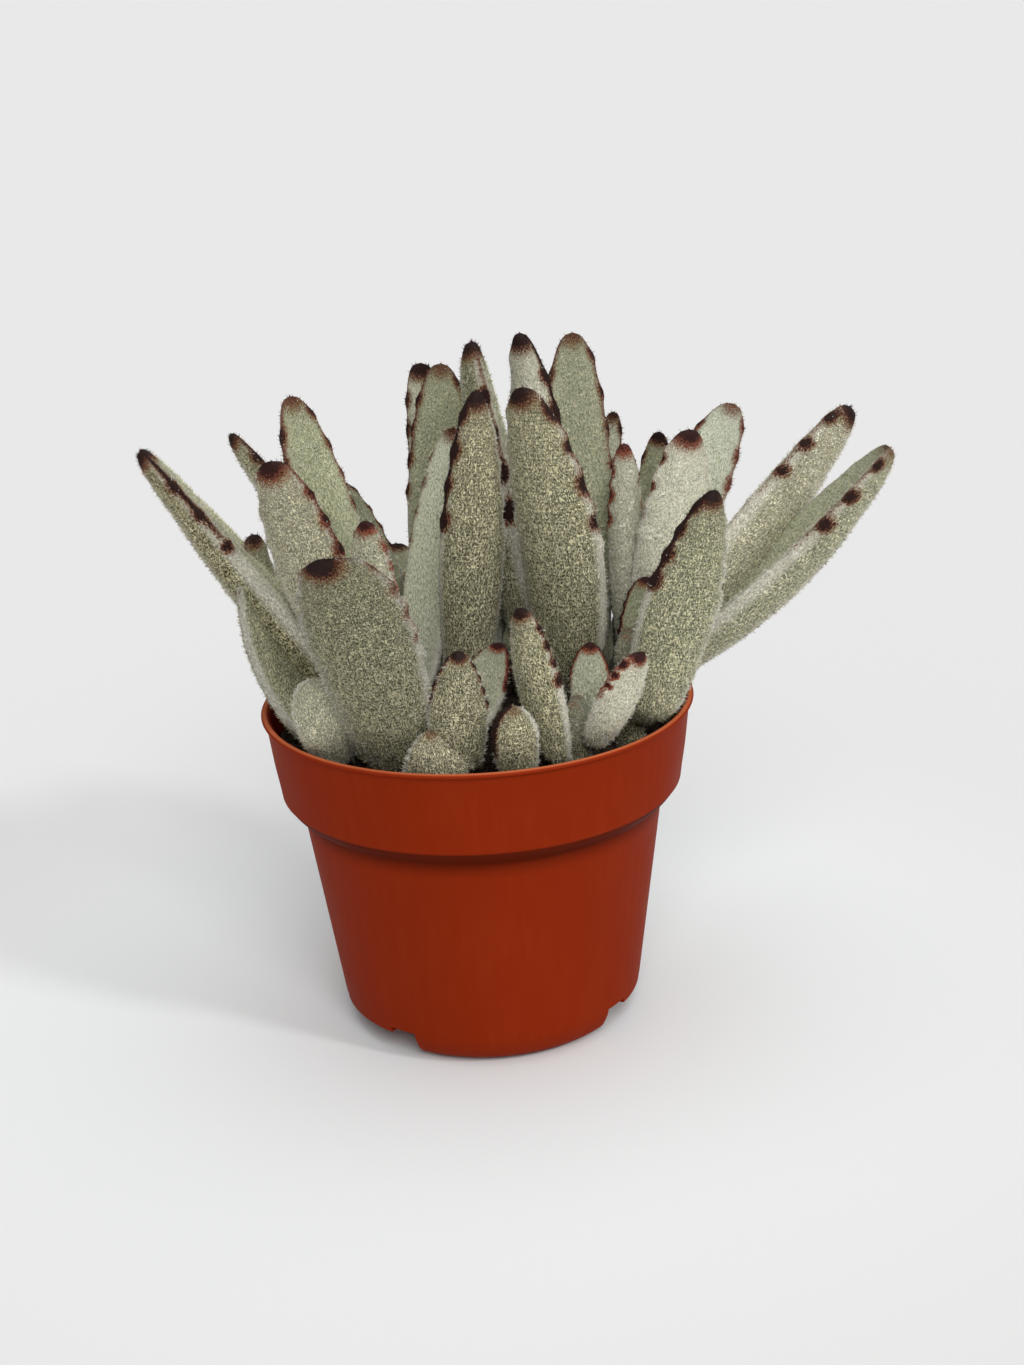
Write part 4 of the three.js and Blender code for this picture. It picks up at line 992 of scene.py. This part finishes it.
# a young leaf has a third of a grown one's rings and half of its sides
bud_stations = leaf_stations[::3]
bud_turns = leaf_turns[::2]
for stem_name, x, y, top, crown_turn, _ in STEMS:
    column_rings = stem_rings(x, y, top, stem_angles)
    column = skin(f"column_{stem_name}", column_rings, (x, y, STEM_FOOT), (x, y, top))
    unmarked = np.zeros(column_rings.shape[:2])
    like_a_back = unmarked - np.pi / 2
    keep_looks(column, column_rings, like_a_back, unmarked, STEM_LOOK)
    set_span(column.data, AROUND_PER_RADIUS * STEM_RADIUS, top - STEM_FOOT)
    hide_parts(stem_name)
    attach(column, "root")
    skins_of[stem_name].append((None, STEM_LOOK, column_rings, stem_shares, stem_angles))
    for number, heading in enumerate(BUD_HEADINGS, 1):
        leaf = dict(BUD, heading=crown_turn + heading, root=np.array([x, y, top - BUD_SINK]))
        rings = blade_rings(bud_stations, bud_turns, leaf)
        bud = skin(f"young_leaf_{stem_name}_{number}", rings, rings[0].mean(0), rings[-1].mean(0))
        s, turn = np.meshgrid(bud_stations, bud_turns, indexing="ij")
        keep_looks(bud, rings, turn, marks(s, turn, leaf, BUD_LOOK), BUD_LOOK)
        set_span(bud.data, AROUND_PER_WIDTH * BUD["width"], BUD["length"])
        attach(bud, "root")
        skins_of[stem_name].append((leaf, BUD_LOOK, rings, bud_stations, bud_turns))


# ---- Felt
# The short dense hairs that cover every leaf and stem. Each is a thin closed spike rooted in the skin, that
# leans toward the leaf's tip. Hairs on a brown mark are brown, the others white, cream, straw, sage or dusky.
# More of them are dusky deep inside the plant, which is painted shade.

HAIRS_PER_SQUARE_MM = 2.1
HAIRS_LEFT_DEEP_INSIDE = 0.4
HAIR_LENGTH = 0.95
HAIR_RADIUS = 0.085
HAIR_SUNK = 0.12
HAIR_LEAN = (0.2, 0.8)
HAIR_STRAY = 0.42
LENGTH_SPREAD = (0.6, 1.25)
RADIUS_SPREAD = (0.7, 1.3)
HAIR_TONES = {
    "white": (0.90, 0.88, 0.80),
    "cream": (0.82, 0.78, 0.54),
    "straw": (0.62, 0.54, 0.30),
    "sage": (0.42, 0.46, 0.22),
    "dusk": (0.085, 0.080, 0.044),
    "rust": (0.26, 0.070, 0.033),
    "umber": (0.032, 0.013, 0.009),
}
# how brown a place has to be for rust and for umber hairs, how much that strays from hair to hair, and how
# many hairs of the fringe stay pale on a mark, by how much
RUST_FROM = 0.25
UMBER_FROM = 0.42
MARK_STRAY = 0.07
PALE_ON_MARK = 0.09
PALE_BY = 0.6
# shares of the tones: white at least, on a pale leaf and on the fringe; dusk, and how much less of it there
# is in the open, so that the extra dusky hairs deep inside are painted shade, and on the inner face; and
# straw or sage among the rest
FRINGE_STEP = (0.85, 0.97)
WHITE_LEAST = 0.05
WHITE_OF_PALE = 0.7
WHITE_OF_FRINGE = 0.8
DUSK_SHARE = 0.45
PAINTED_SHADE_DUSK_LESS_IN_OPEN = 0.2
DUSK_LESS_INSIDE = 0.6
TINTED_SHARE = 0.6
# keeps a division by a length or an area of nothing finite
NEARLY_NOTHING = 1e-9


def hair_material(name, colour):
    """One tone of hair: a soft, unpolished fibre."""
    material, tree, shader = new_material(f"hair_{name}")
    feed(tree, shader, [("Base Color", (*colour, 1)), ("Roughness", 0.75), ("Specular IOR Level", 0.25)])
    return material


def sown(rings, stations, turns, draw, density):
    """Points sown evenly over a skin of rings, with the normal there, the way along the blade, and the
    share and turn. A quad is drawn by its area, and a point in it by two even draws u and v."""
    nearby = np.concatenate([rings, rings[:, :1]], 1)
    a, b, c, d = nearby[:-1, :-1], nearby[:-1, 1:], nearby[1:, 1:], nearby[1:, :-1]
    cross = np.cross(c - a, d - b)
    area = np.linalg.norm(cross, axis=-1) / 2
    count = draw.poisson(area.sum() * density)
    quad = draw.choice(area.size, count, p=(area / area.sum()).ravel())
    i, j = np.unravel_index(quad, area.shape)
    u, v = draw.uniform(0, 1, (2, count, 1))
    point = a[i, j] * (1 - u) * (1 - v) + b[i, j] * u * (1 - v) + c[i, j] * u * v + d[i, j] * (1 - u) * v
    normal = cross[i, j] / np.maximum(2 * area[i, j], NEARLY_NOTHING)[:, None]
    way = d[i, j] - a[i, j]
    way /= np.linalg.norm(way, axis=1)[:, None] + NEARLY_NOTHING
    s = stations[i] + v[:, 0] * (stations[i + 1] - stations[i])
    turn = turns[j] + u[:, 0] * (turns[1] - turns[0])
    return point, normal, way, s, turn


def spikes(name, point, normal, way, tone, draw):
    """A mesh of closed spikes: three corners round the root, which is sunk into the skin, and one at the tip,
    which lies along normal + lean way + a random part."""
    count = len(point)
    stray = draw.normal(0, HAIR_STRAY, (count, 3))
    aim = normal + way * draw.uniform(*HAIR_LEAN, (count, 1)) + stray
    aim /= np.linalg.norm(aim, axis=1)[:, None]
    first = np.cross(aim, draw.normal(0, 1, (count, 3)))
    first /= np.linalg.norm(first, axis=1)[:, None]
    second = np.cross(aim, first)
    radius = HAIR_RADIUS * draw.uniform(*RADIUS_SPREAD, (count, 1))
    length = HAIR_LENGTH * draw.uniform(*LENGTH_SPREAD, (count, 1))
    root = point - normal * HAIR_SUNK
    third = 2 * np.pi / 3
    corners = [root + radius * (first * np.cos(third * k) + second * np.sin(third * k)) for k in range(3)]
    vertices = np.stack([*corners, root + aim * length], 1).reshape(-1, 3) / 1000
    faces = np.array([(0, 1, 3), (1, 2, 3), (2, 0, 3), (2, 1, 0)])
    corners_of_faces = (faces[None] + 4 * np.arange(count)[:, None, None]).reshape(-1)
    mesh = bpy.data.meshes.new(name)
    mesh.vertices.add(4 * count)
    mesh.vertices.foreach_set("co", vertices.ravel())
    mesh.loops.add(12 * count)
    mesh.loops.foreach_set("vertex_index", corners_of_faces)
    mesh.polygons.add(4 * count)
    mesh.polygons.foreach_set("loop_start", np.arange(0, 12 * count, 3))
    mesh.polygons.foreach_set("material_index", np.repeat(tone, 4))
    mesh.update(calc_edges=True)
    return new_object(name, mesh)


def hair_tone(mark, turn, look, opened, draw):
    """The tone of each hair: umber on a mark, rust round it, and else a draw that follows the leaf's looks
    and how open its place is, with more dusky hairs deep inside as painted shade. The fringe of the margins
    is paler, and a few of its hairs stay pale on a mark."""
    tones = list(HAIR_TONES)
    inner = smooth(np.sin(turn), *INNER_STEP)
    fringe = smooth(np.abs(np.cos(turn)), *FRINGE_STEP)
    ragged = mark + draw.normal(0, MARK_STRAY, mark.shape)
    ragged -= PALE_BY * (draw.uniform(0, 1, mark.shape) < PALE_ON_MARK * fringe)
    green = np.maximum(look["green"], inner)
    white = np.maximum(WHITE_LEAST + WHITE_OF_PALE * look["pale"], WHITE_OF_FRINGE * fringe)
    dusk = (1 - white) * (DUSK_SHARE - PAINTED_SHADE_DUSK_LESS_IN_OPEN * opened) * (1 - DUSK_LESS_INSIDE * inner)
    straw = (1 - white - dusk) * (1 - green) * TINTED_SHARE
    sage = (1 - white - dusk) * green * TINTED_SHARE
    limits = np.cumsum([white, dusk, straw, sage], 0)
    chance = draw.uniform(0, 1, mark.shape)
    picks = [tones.index(name) for name in ("white", "dusk", "straw", "sage")]
    tone = np.select(list(chance < limits), picks, tones.index("cream"))
    tone = np.where(ragged > RUST_FROM, tones.index("rust"), tone)
    return np.where(ragged > UMBER_FROM, tones.index("umber"), tone)


hair_materials = [hair_material(name, colour) for name, colour in HAIR_TONES.items()]
hair_draw = np.random.default_rng(23)
for stem_name, skins in skins_of.items():
    parts = []
    for leaf, look, rings, stations, turns in skins:
        point, normal, way, s, turn = sown(rings, stations, turns, hair_draw, HAIRS_PER_SQUARE_MM)
        mark = np.zeros(len(s)) if leaf is None else marks(s, turn, leaf, look)
        opened = openness(point)
        tone = hair_tone(mark, turn, look, opened, hair_draw)
        share_kept = HAIRS_LEFT_DEEP_INSIDE + (1 - HAIRS_LEFT_DEEP_INSIDE) * opened
        kept = (hair_draw.uniform(0, 1, len(s)) < share_kept) & (point[:, 2] > SOIL_TOP)
        parts.append([values[kept] for values in (point, normal, way, tone)])
    point, normal, way, tone = (np.concatenate(values) for values in zip(*parts))
    felt_piece = spikes(f"felt_{stem_name}", point, normal, way, tone, hair_draw)
    for material in hair_materials:
        felt_piece.data.materials.append(material)
    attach(felt_piece, "root")


# ---- Floor and light
# A wide, pale, matte floor under even white light, with a soft lamp from above, one from the front and a
# sharper one from the right, which throws the plant's shadow to the left. Near the pot the floor is painted
# paler and less red, painted light that lifts the pot's shade and its red bounce.

FLOOR_HALF = 12.0
FLOOR_CORNERS = [(-1, -1, 0), (1, -1, 0), (1, 1, 0), (-1, 1, 0)]
# how far from the pot's middle, in metres, the floor's painted light near the pot fades into its plain grey
PAINTED_LIGHT_FADE = (0.05, 0.22)
FLOOR_GREY = (0.790, 0.785, 0.785)
FLOOR_PAINTED_LIGHT_NEAR_POT = (0.840, 0.868, 0.869)
SKY_LIGHT = 0.36
SEEN_GREY = (0.81, 0.81, 0.81)
LAMPS = {
    # the way that each lamp shines from, how far it spreads in degrees, and its strength
    "key": ((0.81, -0.59, 0.70), 7, 0.75),
    "overhead": ((0.1, 0.05, 1), 60, 0.80),
    "fill": ((0.15, -1, 0.85), 30, 1.4),
}

floor_mesh = bpy.data.meshes.new("floor")
floor_mesh.from_pydata((FLOOR_HALF * np.array(FLOOR_CORNERS)).tolist(), [], [(0, 1, 2, 3)])
floor = new_object("floor", floor_mesh)
floor_material, floor_tree, floor_shader = new_material("floor_paper_with_painted_light")
# painted light: the floor is paler and less red near the pot, lifting its shade and the pot's red bounce
from_pot = add_node(floor_tree, "ShaderNodeVectorMath", [(0, object_place(floor_tree))], operation="LENGTH")
painted_light_share = stepped(floor_tree, from_pot.outputs["Value"], *PAINTED_LIGHT_FADE)
floor_colour_with_painted_light = mixed(floor_tree, painted_light_share, FLOOR_PAINTED_LIGHT_NEAR_POT, FLOOR_GREY)
matte_floor = [("Base Color", floor_colour_with_painted_light), ("Roughness", 1.0), ("Specular IOR Level", 0.0)]
feed(floor_tree, floor_shader, matte_floor)
floor.data.materials.append(floor_material)

world = bpy.data.worlds.new("studio")
bpy.context.scene.world = world
world.use_nodes = True
sky = world.node_tree.nodes["Background"]
feed(world.node_tree, sky, [("Color", (1, 1, 1, 1)), ("Strength", SKY_LIGHT)])
seen = add_node(world.node_tree, "ShaderNodeBackground", [("Color", (*SEEN_GREY, 1))])
to_camera = add_node(world.node_tree, "ShaderNodeLightPath").outputs["Is Camera Ray"]
sources = [(0, to_camera), (1, sky.outputs[0]), (2, seen.outputs[0])]
chosen = add_node(world.node_tree, "ShaderNodeMixShader", sources)
feed(world.node_tree, world.node_tree.nodes["World Output"], [("Surface", chosen.outputs[0])])

for name, (shines_from, spread, strength) in LAMPS.items():
    lamp_data = bpy.data.lights.new(name, "SUN")
    lamp_data.energy = strength
    lamp_data.angle = np.radians(spread)
    back = np.array(shines_from) / np.linalg.norm(shines_from)
    side = np.cross([0, 1.0, 0], back)
    side /= np.linalg.norm(side)
    lamp_rows = np.eye(4)
    lamp_rows[:3, :3] = np.column_stack([side, np.cross(back, side), back])
    new_object(name, lamp_data).matrix_world = Matrix(lamp_rows.tolist())
bpy.context.scene.view_settings.view_transform = "Standard"
